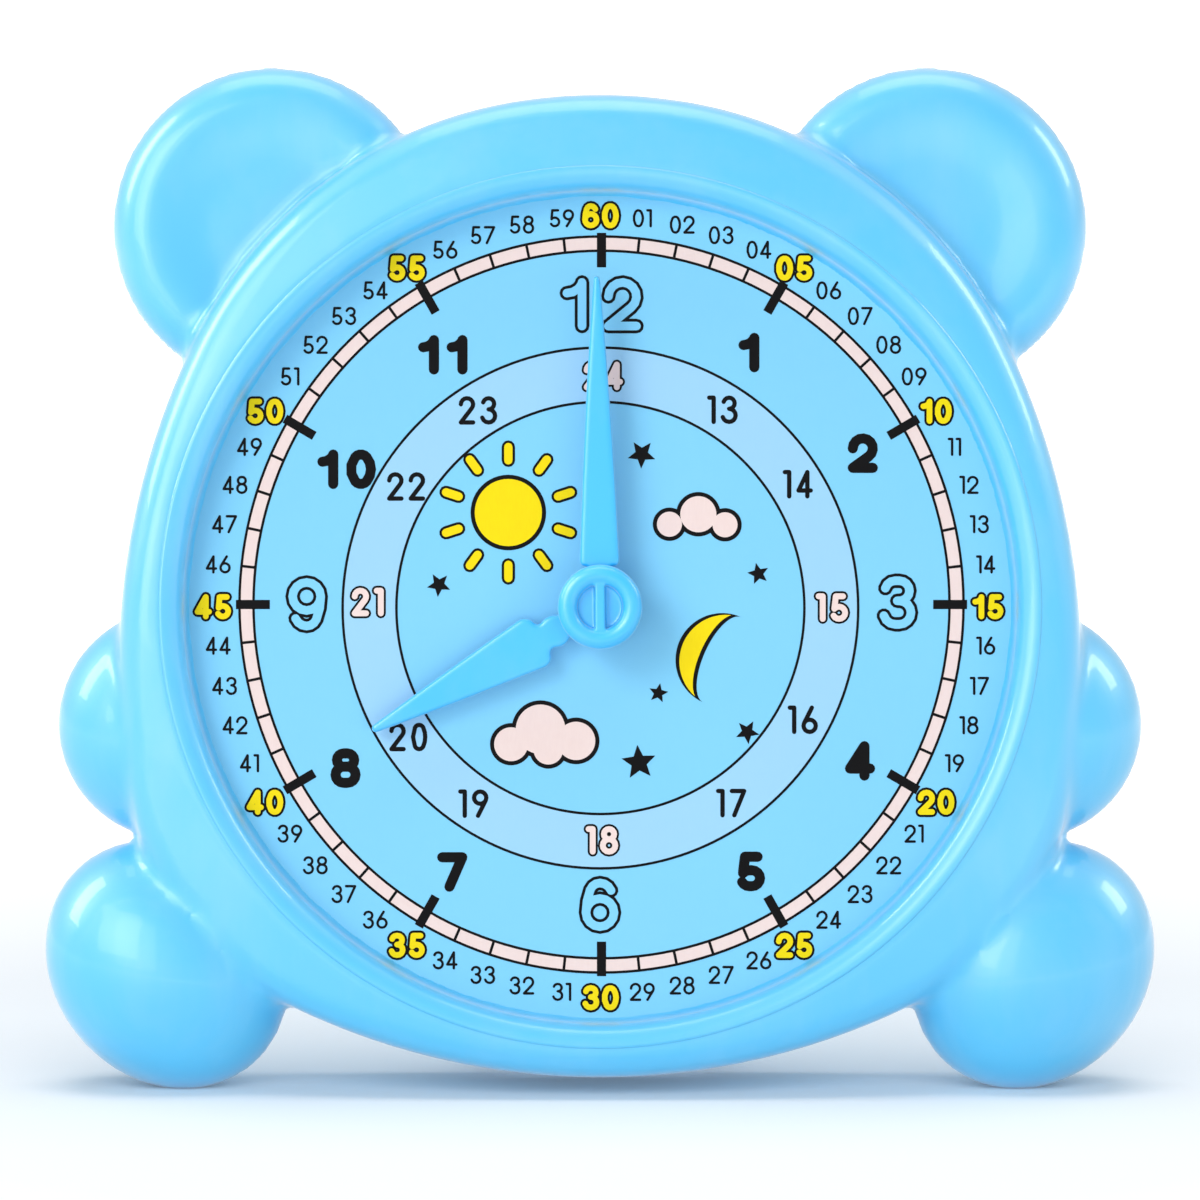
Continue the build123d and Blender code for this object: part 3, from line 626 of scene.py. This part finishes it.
def flat_bar(shape, scale, inner, outer, width, degrees):
    """A flat bar along a radius of a scale, that many degrees clockwise from the top."""
    start, end = Vector(scale.place(inner, degrees)), Vector(scale.place(outer, degrees))
    middle, reach = (start + end) / 2, end - start
    place = Matrix.Translation((*middle, 0)) @ Matrix.Rotation(math.atan2(-reach.x, reach.y), 4, "Z")
    size = Matrix.Diagonal((width, reach.length, 1, 1))
    bmesh.ops.create_grid(shape, x_segments=1, y_segments=1, size=0.5, matrix=place @ size)


def flat_disc(shape, x, y, radius):
    bmesh.ops.create_circle(
        shape, cap_ends=True, segments=DISC_SEGMENTS, radius=radius, matrix=Matrix.Translation((x, y, 0))
    )


def raised(shape, level):
    """Gives flat print its thickness: its face stands that high above the card, its back on the card."""
    bmesh.ops.translate(shape, verts=shape.verts, vec=(0, 0, level))
    back = bmesh.ops.extrude_face_region(shape, geom=shape.faces[:])
    verts = [part for part in back["geom"] if isinstance(part, bmesh.types.BMVert)]
    for vert in verts:
        vert.co.z = 0
    bmesh.ops.recalc_face_normals(shape, faces=shape.faces)


def poured(target, source, matrix=Matrix.Identity(4)):
    """Adds a copy of one shape to another, moved by a matrix."""
    mesh = bpy.data.meshes.new("pour")
    source.to_mesh(mesh)
    mesh.transform(matrix)
    target.from_mesh(mesh)
    bpy.data.meshes.remove(mesh)


def printed(name, shape, material):
    """Lays a finished print shape on the card and shows it."""
    bmesh.ops.transform(shape, matrix=ON_DIAL, verts=shape.verts)
    mesh = bpy.data.meshes.new(name)
    shape.to_mesh(mesh)
    shape.free()
    return shown(name, mesh, material, "case")


# ------------------------------------------------------------------ print: the pen
def half_nib(shape, middle, tip, turn):
    """A round end: half of the nib turned half a circle about its middle."""
    verts = [shape.verts.new(middle.co), shape.verts.new(tip.co)]
    edge = shape.edges.new(verts)
    bmesh.ops.spin(
        shape, geom=[*verts, edge], cent=middle.co.copy(), axis=(0, 0, 1), dvec=(0, 0, 0),
        angle=turn * math.pi, steps=NIB_STEPS, use_duplicate=False,
    )


def pen_stroke(shape, pen, start, heading, moves, closed=False):
    """Draws one stroke of a round pen. A move is a length, or a radius with the degrees it turns left."""
    angle = math.radians(heading)
    side = Vector((-math.sin(angle), math.cos(angle), 0)) * pen / 2
    place = Vector((*start, 0))
    nib = [shape.verts.new(place + side * share) for share in (1, 0, -1)]
    first, edges = nib, [shape.edges.new(nib[:2]), shape.edges.new(nib[1:])]
    for move in moves:
        ahead = Vector((math.cos(angle), math.sin(angle), 0))
        left = Vector((-math.sin(angle), math.cos(angle), 0))
        if isinstance(move, tuple):
            radius, degrees = move
            centre = nib[1].co + left * math.copysign(radius, degrees)
            steps = max(2, round(abs(degrees) / ARC_STEP))
            grown = bmesh.ops.spin(
                shape, geom=[*nib, *edges], cent=centre, axis=(0, 0, 1), dvec=(0, 0, 0),
                angle=math.radians(degrees), steps=steps, use_duplicate=False,
            )["geom_last"]
            angle += math.radians(degrees)
        else:
            grown = bmesh.ops.extrude_edge_only(shape, edges=edges)["geom"]
            moved = [part for part in grown if isinstance(part, bmesh.types.BMVert)]
            bmesh.ops.translate(shape, verts=moved, vec=ahead * move)
        ends = [part for part in grown if isinstance(part, bmesh.types.BMVert)]
        edges = [part for part in grown if isinstance(part, bmesh.types.BMEdge)]
        edges = [edge for edge in edges if all(vert in ends for vert in edge.verts)]
        left = Vector((-math.sin(angle), math.cos(angle), 0))
        nib = sorted(ends, key=lambda vert: -vert.co.dot(left))
        edges = [edge for edge in edges if abs(edge.calc_length() - pen / 2) < pen / 20]
    if not closed:
        half_nib(shape, first[1], first[0], 1)
        half_nib(shape, nib[1], nib[2], 1)
    bmesh.ops.remove_doubles(shape, verts=shape.verts, dist=pen / 500)


def oval_moves(width, height):
    """The four arcs of an upright oval, from its right-hand side."""
    half, reach = width / 2, height / 2
    small = 0.74 * half
    large = (half**2 + reach**2 - 2 * reach * small) / (2 * (half - small))
    lean = math.degrees(math.atan2(reach - small, large - half))
    return [(large, lean), (small, 180 - 2 * lean), (large, 2 * lean), (small, 180 - 2 * lean), (large, lean)]


def tangent(x, y, radius):
    """From a point over a round bowl at the origin: heading and length of the line that meets its left."""
    reach = math.hypot(x, y)
    toward = math.degrees(math.atan2(-y, -x))
    return toward - math.degrees(math.asin(radius / reach)), math.sqrt(reach**2 - radius**2)


def on_circle(x, y, radius, degrees):
    angle = math.radians(degrees)
    return x + radius * math.cos(angle), y + radius * math.sin(angle)


def broad_ring(low, radius, half_width):
    """A closed ring that stands on a height, as two half circles with a straight between them."""
    straight = max(0.0, 2 * (half_width - radius))
    moves = [(radius, 90), straight, (radius, 180), straight, (radius, 90)]
    return (straight / 2 + radius, low + radius), 90, moves, True


def six_strokes(style):
    """A six: a round bowl with a straight stroke above it, or with a hooked one."""
    height, half = style.height, style.width / 2
    bowl = ((half, half), 90, [(half, 360)], True)
    if not style.hooked:
        top = (0.18 * style.width, height)
        heading, length = tangent(top[0], top[1] - half, half)
        return [bowl, (top, heading, [length], False)]
    small, reach = 0.74 * half, height - half
    large = (half**2 + reach**2 - 2 * reach * small) / (2 * (half - small))
    lean = math.degrees(math.atan2(reach - small, large - half))
    hook = [(large, -lean), (small, lean - 90), (0.85 * half, -68)]
    return [bowl, ((-half, half), 90, hook, False)]


def digit_strokes(digit, style):
    """The strokes of a digit: start, heading, moves and whether the stroke closes on itself."""
    height, width = style.height, style.width
    half, middle = width / 2, height / 2
    if digit == "0":
        return [((half, middle), 90, oval_moves(width, height), True)]
    if digit == "1":
        stem = ((0.2 * width, 0), 90, [height], False)
        if style.hooked:
            return [stem, ((-0.34 * width, 0.755 * height), 0, [(0.61 * width, 62)], False)]
        return [stem, ((-0.16 * width, height), 0, [0.36 * width], False)]
    if digit == "2":
        lean = math.degrees(math.atan2(height - half, half))
        curve = [(half, 2 * lean - 360), height - half]
        return [((-half, height - half), 90, curve, False), ((-half, 0), 0, [width], False)]
    if digit == "3":
        upper, lower = 0.23 * height, 0.27 * height
        top_straight = max(0.0, 2 * (0.436 * width - upper))
        low_straight = max(0.0, 2 * (0.49 * width - lower))
        start = on_circle(-top_straight / 2, height - upper, upper, 165)
        return [
            (start, 75, [(upper, -75), top_straight, (upper, -180), top_straight / 2], False),
            ((0, 2 * lower), 0, [low_straight / 2, (lower, -180), low_straight, (lower, -75)], False),
        ]
    if digit == "4":
        stem_x, bar_y = 0.22 * width, 0.24 * height
        slant = math.hypot(stem_x + half, height - bar_y)
        heading = math.degrees(math.atan2(bar_y - height, -half - stem_x))
        return [
            ((stem_x, height), heading, [slant], False),
            ((-half, bar_y), 0, [width], False),
            ((stem_x, 0), 90, [height], False),
        ]
    if digit == "5":
        bowl = 0.27 * height
        straight = max(0.0, 2 * (0.47 * width - bowl))
        start = Vector(on_circle(-straight / 2, bowl, bowl, 140))
        corner = Vector((-0.28 * width, height))
        fall = start - corner
        return [
            (start, 50, [(bowl, -50), straight, (bowl, -180), straight, (bowl, -62)], False),
            (corner, math.degrees(math.atan2(fall.y, fall.x)), [fall.length], False),
            (corner, 0, [0.63 * width], False),
        ]
    if digit == "6":
        return six_strokes(style)
    if digit == "7":
        across = 0.64 * width if style.hooked else 0.8 * width
        heading = math.degrees(math.atan2(-height, -across))
        return [
            ((-half, height), 0, [width], False),
            ((half, height), heading, [math.hypot(height, across)], False),
        ]
    if digit == "8":
        upper, lower = 0.225 * height, 0.275 * height
        return [broad_ring(0, lower, half), broad_ring(2 * lower, upper, 0.43 * width)]
    return [
        ((-x, height - y), turn + 180, moves, closed) for (x, y), turn, moves, closed in six_strokes(style)
    ]


def digit_shape(digit, style, wider):
    """One digit in that lettering, its middle at the origin, drawn with the pen widened on each side."""
    glyph = bmesh.new()
    level = EDGE_LEVEL if wider else style.level
    for order, (start, heading, moves, closed) in enumerate(digit_strokes(digit, style)):
        stroke = bmesh.new()
        pen_stroke(stroke, style.pen + 2 * wider, start, heading, [move for move in moves if move], closed)
        raised(stroke, level + order * STROKE_LIFT)
        poured(glyph, stroke, Matrix.Translation((0, -style.height / 2, 0)))
        stroke.free()
    return glyph


def digit_reach(digit, style):
    """How far the middle of a digit's strokes reaches left and right of its own middle."""
    if digit == "1":
        return (-0.34 * style.width if style.hooked else -0.16 * style.width), 0.2 * style.width
    return -style.width / 2, style.width / 2


def set_numbers(numbers, style, wider):
    """Numbers set upright on the dial: each is its text and the place of its middle."""
    page = bmesh.new()
    glyphs = {digit: digit_shape(digit, style, wider) for digit in sorted(set("".join(n[0] for n in numbers)))}
    for text, place in numbers:
        reaches = [digit_reach(digit, style) for digit in text]
        total = sum(right - left + style.pen for left, right in reaches) + (len(text) - 1) * style.gap
        cursor = place[0] - total / 2
        for order, (digit, (left, right)) in enumerate(zip(text, reaches)):
            middle = Vector((cursor + style.pen / 2 - left, place[1], order * STROKE_LIFT / 2))
            poured(page, glyphs[digit], Matrix.Translation(middle))
            cursor += right - left + style.pen + style.gap
    for glyph in glyphs.values():
        glyph.free()
    return page


# ------------------------------------------------------------------ print: the dial
def print_rings():
    """The tinted hour band, the pale minute track, their black lines and the ticks."""
    for name, scale, inner, outer, material in (
        ("print_band", BAND_SCALE, BAND_INNER, BAND_OUTER, BAND_INK),
        ("print_track", MINUTE_SCALE, TRACK_INNER, TRACK_OUTER, PALE_INK),
    ):
        ring = bmesh.new()
        flat_ring(ring, scale, inner, outer)
        raised(ring, TINT_LEVEL)
        printed(name, ring, material)
    lines = bmesh.new()
    for scale, middle in (
        (BAND_SCALE, BAND_INNER), (BAND_SCALE, BAND_OUTER),
        (MINUTE_SCALE, TRACK_INNER), (MINUTE_SCALE, TRACK_OUTER),
    ):
        flat_ring(lines, scale, middle - RING_LINE / 2, middle + RING_LINE / 2)
    raised(lines, LINE_LEVEL)
    printed("print_lines", lines, BLACK_INK)
    ticks = bmesh.new()
    for minute in range(60):
        if minute % 5:
            flat_bar(ticks, MINUTE_SCALE, TRACK_INNER, TRACK_OUTER, MINUTE_TICK, 6 * minute)
        else:
            flat_bar(ticks, MINUTE_SCALE, FIVE_TICK_INNER, FIVE_TICK_OUTER, FIVE_TICK, 6 * minute)
    raised(ticks, LINE_LEVEL + STROKE_LIFT)
    printed("print_ticks", ticks, BLACK_INK)


def print_numbers():
    """Minutes outside the track, hours inside it, and the hours from 13 to 24 in the band."""
    minutes = [(f"{m:02d}", MINUTE_NUMBERS.place(MINUTE_RADIUS, 6 * m)) for m in range(1, 60) if m % 5]
    fives = [(f"{m:02d}", FIVE_NUMBERS.place(FIVE_RADIUS, 6 * m)) for m in range(5, 61, 5)]
    sets = [("minutes", minutes, MINUTES, BLACK_INK), ("fives", fives, FIVES, YELLOW_INK)]
    for name, places, plain, quarter, quarter_ink in (
        ("hours", HOUR_PLACES, HOURS, QUARTERS, CARD),
        ("day_hours", DAY_PLACES, DAY_HOURS, DAY_QUARTERS, PALE_INK),
    ):
        between = [number for number in places.items() if int(number[0]) % 3]
        at_quarters = [number for number in places.items() if int(number[0]) % 3 == 0]
        sets.append((name, between, plain, BLACK_INK))
        sets.append((name + "_quarters", at_quarters, quarter, quarter_ink))
    for name, numbers, style, material in sets:
        printed("print_" + name, set_numbers(numbers, style, 0), material)
        if style.edge:
            printed(f"print_{name}_edge", set_numbers(numbers, style, style.edge), BLACK_INK)


# ------------------------------------------------------------------ print: day and night in the middle
SKY_EDGE = 0.75
SUN_PLACE, SUN_RADIUS = (-16.5, 17.0), 6.8
SUN_RAYS, RAY_START, RAY_LENGTH, RAY_PEN, RAY_EDGE = 10, 9.4, 2.4, 2.4, 1.2
MOON_PLACE, MOON_RADIUS, MOON_HOLLOW, MOON_LEAN = (22.0, -9.5), 8.4, 3.4, 24.0
CLOUDS = {
    "day": ((-9.5, -23.5), ((-6.5, -1.2, 3.8), (-1.2, 1.5, 5.2), (5.2, -0.6, 4.2), (0.2, -2.2, 3.4))),
    "night": ((17.5, 15.5), ((-5.0, -0.6, 3.0), (0.2, 1.2, 4.0), (5.0, -0.7, 3.0))),
}
MOON_STEPS, MOON_WELD = 40, 0.01
STARS = (
    (7.0, -28.0, 3.2), (26.5, -22.5, 2.2), (7.5, 27.5, 2.6),
    (28.5, 6.0, 2.0), (-29.0, 4.0, 2.2), (10.5, -15.5, 1.8),
)
STAR_POINTS, STAR_WAIST = 5, 0.45


def two_inks(name, draw, material):
    """Prints a motif twice: black to its full size, and over it the colour that stays inside the edge."""
    for part, edge, level, ink_of_part in (
        ("_edge", 0.0, EDGE_LEVEL, BLACK_INK), ("", SKY_EDGE, FILL_LEVEL, material),
    ):
        page = bmesh.new()
        draw(page, edge, level)
        printed(name + part, page, ink_of_part)


def draw_cloud(page, edge, level, place, lobes):
    for order, (x, y, radius) in enumerate(lobes):
        lobe = bmesh.new()
        flat_disc(lobe, place[0] + x, place[1] + y, radius - edge)
        raised(lobe, level + order * STROKE_LIFT)
        poured(page, lobe)
        lobe.free()


def draw_sun(page, edge, level):
    disc = bmesh.new()
    flat_disc(disc, *SUN_PLACE, SUN_RADIUS - edge)
    raised(disc, level)
    poured(page, disc)
    disc.free()
    for order in range(SUN_RAYS):
        angle = 2 * math.pi * (order + 0.5) / SUN_RAYS
        ray = bmesh.new()
        start = Vector(SUN_PLACE) + RAY_START * Vector((math.cos(angle), math.sin(angle)))
        pen_stroke(ray, RAY_PEN - RAY_EDGE * edge, start, math.degrees(angle), [RAY_LENGTH])
        raised(ray, level)
        poured(page, ray)
        ray.free()


def draw_moon(page, edge, level):
    """A crescent, drawn as a strip between two half ovals that meet at the tips."""
    crescent = bmesh.new()
    bmesh.ops.create_grid(crescent, x_segments=1, y_segments=MOON_STEPS, size=1)
    turn = math.acos(2 * edge / (MOON_RADIUS - MOON_HOLLOW))
    for vert in crescent.verts:
        angle = vert.co.y * turn
        bulge = MOON_RADIUS * math.cos(angle) - edge if vert.co.x < 0 else MOON_HOLLOW * math.cos(angle) + edge
        vert.co = Vector((-bulge, MOON_RADIUS * math.sin(angle), 0))
    bmesh.ops.remove_doubles(crescent, verts=crescent.verts, dist=MOON_WELD)
    raised(crescent, level)
    place = Matrix.Translation((*MOON_PLACE, 0)) @ Matrix.Rotation(-math.radians(MOON_LEAN), 4, "Z")
    poured(page, crescent, place)
    crescent.free()


def print_stars():
    stars = bmesh.new()
    for x, y, radius in STARS:
        star = bmesh.new()
        bmesh.ops.create_circle(star, cap_ends=True, segments=2 * STAR_POINTS, radius=radius)
        for vert in list(star.verts)[::2]:
            vert.co *= STAR_WAIST
        poured(stars, star, Matrix.Translation((x, y, 0)) @ Matrix.Rotation(x, 4, "Z"))
        star.free()
    raised(stars, EDGE_LEVEL)
    printed("print_stars", stars, BLACK_INK)


def print_sky():
    two_inks("print_sun", draw_sun, YELLOW_INK)
    two_inks("print_moon", draw_moon, YELLOW_INK)
    for when, (place, lobes) in CLOUDS.items():
        two_inks("print_cloud_" + when, lambda *page: draw_cloud(*page, place, lobes), PALE_INK)
    print_stars()


# ------------------------------------------------------------------ floor, light and camera
FLOOR_SIZE, FLOOR_NEAR, FLOOR_FAR = 20, 0.15, 0.75
# the floor's own colour, a faint painted bluish fill near the clock that lightens the floor's shadows, and the
# white far off
FLOOR_SHADE, FLOOR_PAINTED_FILL, FLOOR_WHITE = (0.86, 0.86, 0.86, 1), (0.11, 0.14, 0.17, 1), (1, 1, 1, 1)
WORLD_LIGHT = 0.34


def seen_directly(tree):
    """1 for the rays that show a surface to the camera or in a gloss, 0 for those that light others."""
    path = add_node(tree, "ShaderNodeLightPath")
    seen = math_node(tree, "MAXIMUM", path.outputs["Is Camera Ray"], path.outputs["Is Glossy Ray"])
    return math_node(tree, "MAXIMUM", seen, path.outputs["Is Transmission Ray"])


def pale_floor():
    """A plain pale floor: white far from the clock, and near it as light as the light on it, with a faint painted
    bluish glow that lightens its shadows as light thrown off the blue case would.
    """
    mesh = bpy.data.meshes.new("floor")
    shape = bmesh.new()
    bmesh.ops.create_grid(shape, x_segments=1, y_segments=1, size=FLOOR_SIZE)
    shape.to_mesh(mesh)
    shape.free()
    floor = bpy.data.objects.new("floor", mesh)
    bpy.context.scene.collection.objects.link(floor)
    material = bpy.data.materials.new("pale_floor")
    material.use_nodes = True
    tree = material.node_tree
    tree.nodes.clear()
    place = add_node(tree, "ShaderNodeTexCoord").outputs["Object"]
    away = add_node(tree, "ShaderNodeVectorMath", operation="LENGTH")
    tree.links.new(place, away.inputs[0])
    far = spread(tree, away.outputs["Value"], FLOOR_NEAR, FLOOR_FAR, 0.0, 1.0)
    # seen by the camera and in gloss only: white far off, and near the clock a painted faint bluish light in the
    # floor's shadows
    glow = add_node(tree, "ShaderNodeEmission")
    tree.links.new(mixed(tree, far, FLOOR_PAINTED_FILL, FLOOR_WHITE), glow.inputs["Color"])
    tree.links.new(seen_directly(tree), glow.inputs["Strength"])
    dull = add_node(tree, "ShaderNodeBsdfDiffuse")
    dull.inputs["Color"].default_value = FLOOR_SHADE
    both = add_node(tree, "ShaderNodeAddShader")
    tree.links.new(dull.outputs[0], both.inputs[0])
    tree.links.new(glow.outputs[0], both.inputs[1])
    out = add_node(tree, "ShaderNodeOutputMaterial")
    tree.links.new(both.outputs[0], out.inputs["Surface"])
    mesh.materials.append(material)


def pale_world():
    world = bpy.data.worlds.new("studio")
    bpy.context.scene.world = world
    world.use_nodes = True
    tree = world.node_tree
    background = tree.nodes["Background"]
    background.inputs["Color"].default_value = (1, 1, 1, 1)
    strength = spread(tree, seen_directly(tree), 0.0, 1.0, WORLD_LIGHT, 1.0)
    tree.links.new(strength, background.inputs["Strength"])


def softbox(name, place, aim, size, power, reached=None):
    """A rectangular soft light at a place, turned to a point. Both are metres from the hub."""
    light = bpy.data.lights.new(name, "AREA")
    light.shape, light.energy = "RECTANGLE", power
    light.size, light.size_y = size
    lamp = bpy.data.objects.new(name, light)
    bpy.context.scene.collection.objects.link(lamp)
    lamp.location = HUB + Vector(place)
    lamp.rotation_euler = (Vector(aim) - Vector(place)).to_track_quat("-Z", "Y").to_euler()
    if reached:
        lamp.light_linking.receiver_collection = reached
    return lamp


def receivers(name, pieces, state):
    """The pieces that a light reaches alone, or those that it leaves out."""
    listed = bpy.data.collections.new(name)
    for piece in pieces:
        listed.objects.link(bpy.data.objects[piece])
    for entry in listed.collection_objects:
        entry.light_linking.link_state = state
    return listed


CASE_PIECES = ("front_moulding", "rear_moulding", "lip_crest")
AT_HUB, AT_FLOOR, ABOVE = (0, 0, 0), (0, 0, -0.09), (0.0, 0.12, 1.2)


def studio_lights():
    """The clock's own lights leave the floor to those above and before it, so that the feet keep a soft shadow,
    and the dial gets more of the key light than the case."""
    no_floor = receivers("floor_spared", ("floor",), "EXCLUDE")
    no_case = receivers("case_spared", CASE_PIECES, "EXCLUDE")
    no_floor_or_case = receivers("case_and_floor_spared", ("floor", *CASE_PIECES), "EXCLUDE")
    floor_alone = receivers("floor_alone", ("floor",), "INCLUDE")
    softbox("key", (-0.82, -1.05, 0.52), AT_HUB, (0.8, 0.8), 3.9, no_floor)
    softbox("dial_key", (-0.72, -0.95, 0.72), AT_HUB, (0.5, 0.5), 4.5, no_floor_or_case)
    softbox("front", (-0.62, -1.36, 0.42), AT_HUB, (0.8, 0.9), 2.3, no_floor)
    softbox("top", ABOVE, AT_FLOOR, (1.0, 0.8), 4.2)
    softbox("floor_top", ABOVE, AT_FLOOR, (1.0, 0.8), 5.8, no_case)
    softbox("floor_front", (0.0, -1.0, 0.5), AT_FLOOR, (1.6, 0.6), 6.0, floor_alone)
    softbox("rim_left", (-0.95, -0.02, 0.58), AT_HUB, (0.3, 0.7), 4.4, no_floor)
    softbox("rim_right", (1.0, 0.0, 0.62), AT_HUB, (0.3, 0.5), 2.8, no_floor)
    bounce = softbox("bounce", (0.1, -0.85, -0.06), (0, 0, -0.02), (1.4, 0.2), 3.6, no_floor)
    bounce.visible_glossy = False


CAMERA_DISTANCE, CLIP = 3.0, (0.05, 60.0)
PICTURE_SIZE, PICTURE_WIDTH_MM = 1200, 216.0
HUB_PIXEL = (600, 607)
SENSOR = 36.0


def picture_camera():
    """Looks along the arbor, with the hub at its place in the picture."""
    camera = bpy.data.cameras.new("camera")
    camera.sensor_width = SENSOR
    camera.lens = SENSOR * CAMERA_DISTANCE / (PICTURE_WIDTH_MM * MM)
    camera.clip_start, camera.clip_end = CLIP
    viewer = bpy.data.objects.new("camera", camera)
    bpy.context.scene.collection.objects.link(viewer)
    per_pixel = PICTURE_WIDTH_MM * MM / PICTURE_SIZE
    aside = RIGHT * (PICTURE_SIZE / 2 - HUB_PIXEL[0]) * per_pixel
    above = UP * (HUB_PIXEL[1] - PICTURE_SIZE / 2) * per_pixel
    aim = HUB + aside + above
    viewer.matrix_world = Matrix.Translation(aim - BACKWARD * CAMERA_DISTANCE) @ TURN
    bpy.context.scene.camera = viewer


# ------------------------------------------------------------------ the whole clock
def dress_nodes():
    """Gives each CAD node the finish of its slot."""
    slots = {part["node"]: part["material_slot"] for part in frame["record"]["subparts"]}
    for name, piece in frame["nodes"].items():
        piece.data.materials.clear()
        piece.data.materials.append(FINISH_OF_SLOT[slots[name]])


dress_nodes()
for node, name in (("front_shell", "front_moulding"), ("rear_cover", "rear_moulding")):
    soft_moulding(node, name, CASE_PLASTIC, "case", CASE_VOXEL, CASE_PASSES, is_case=True)
for node, body, voxel in (
    ("hour_hand", "hour_set", HAND_VOXEL),
    ("minute_hand", "minute_set", HAND_VOXEL),
    ("hub_cap", "minute_set", CAP_VOXEL),
):
    soft_moulding(node, node + "_moulding", HAND_PLASTIC, body, voxel, HAND_PASSES)
lip_crest()
print_rings()
print_numbers()
print_sky()
pale_floor()
pale_world()
studio_lights()
picture_camera()
bpy.context.scene.view_settings.view_transform = "Standard"
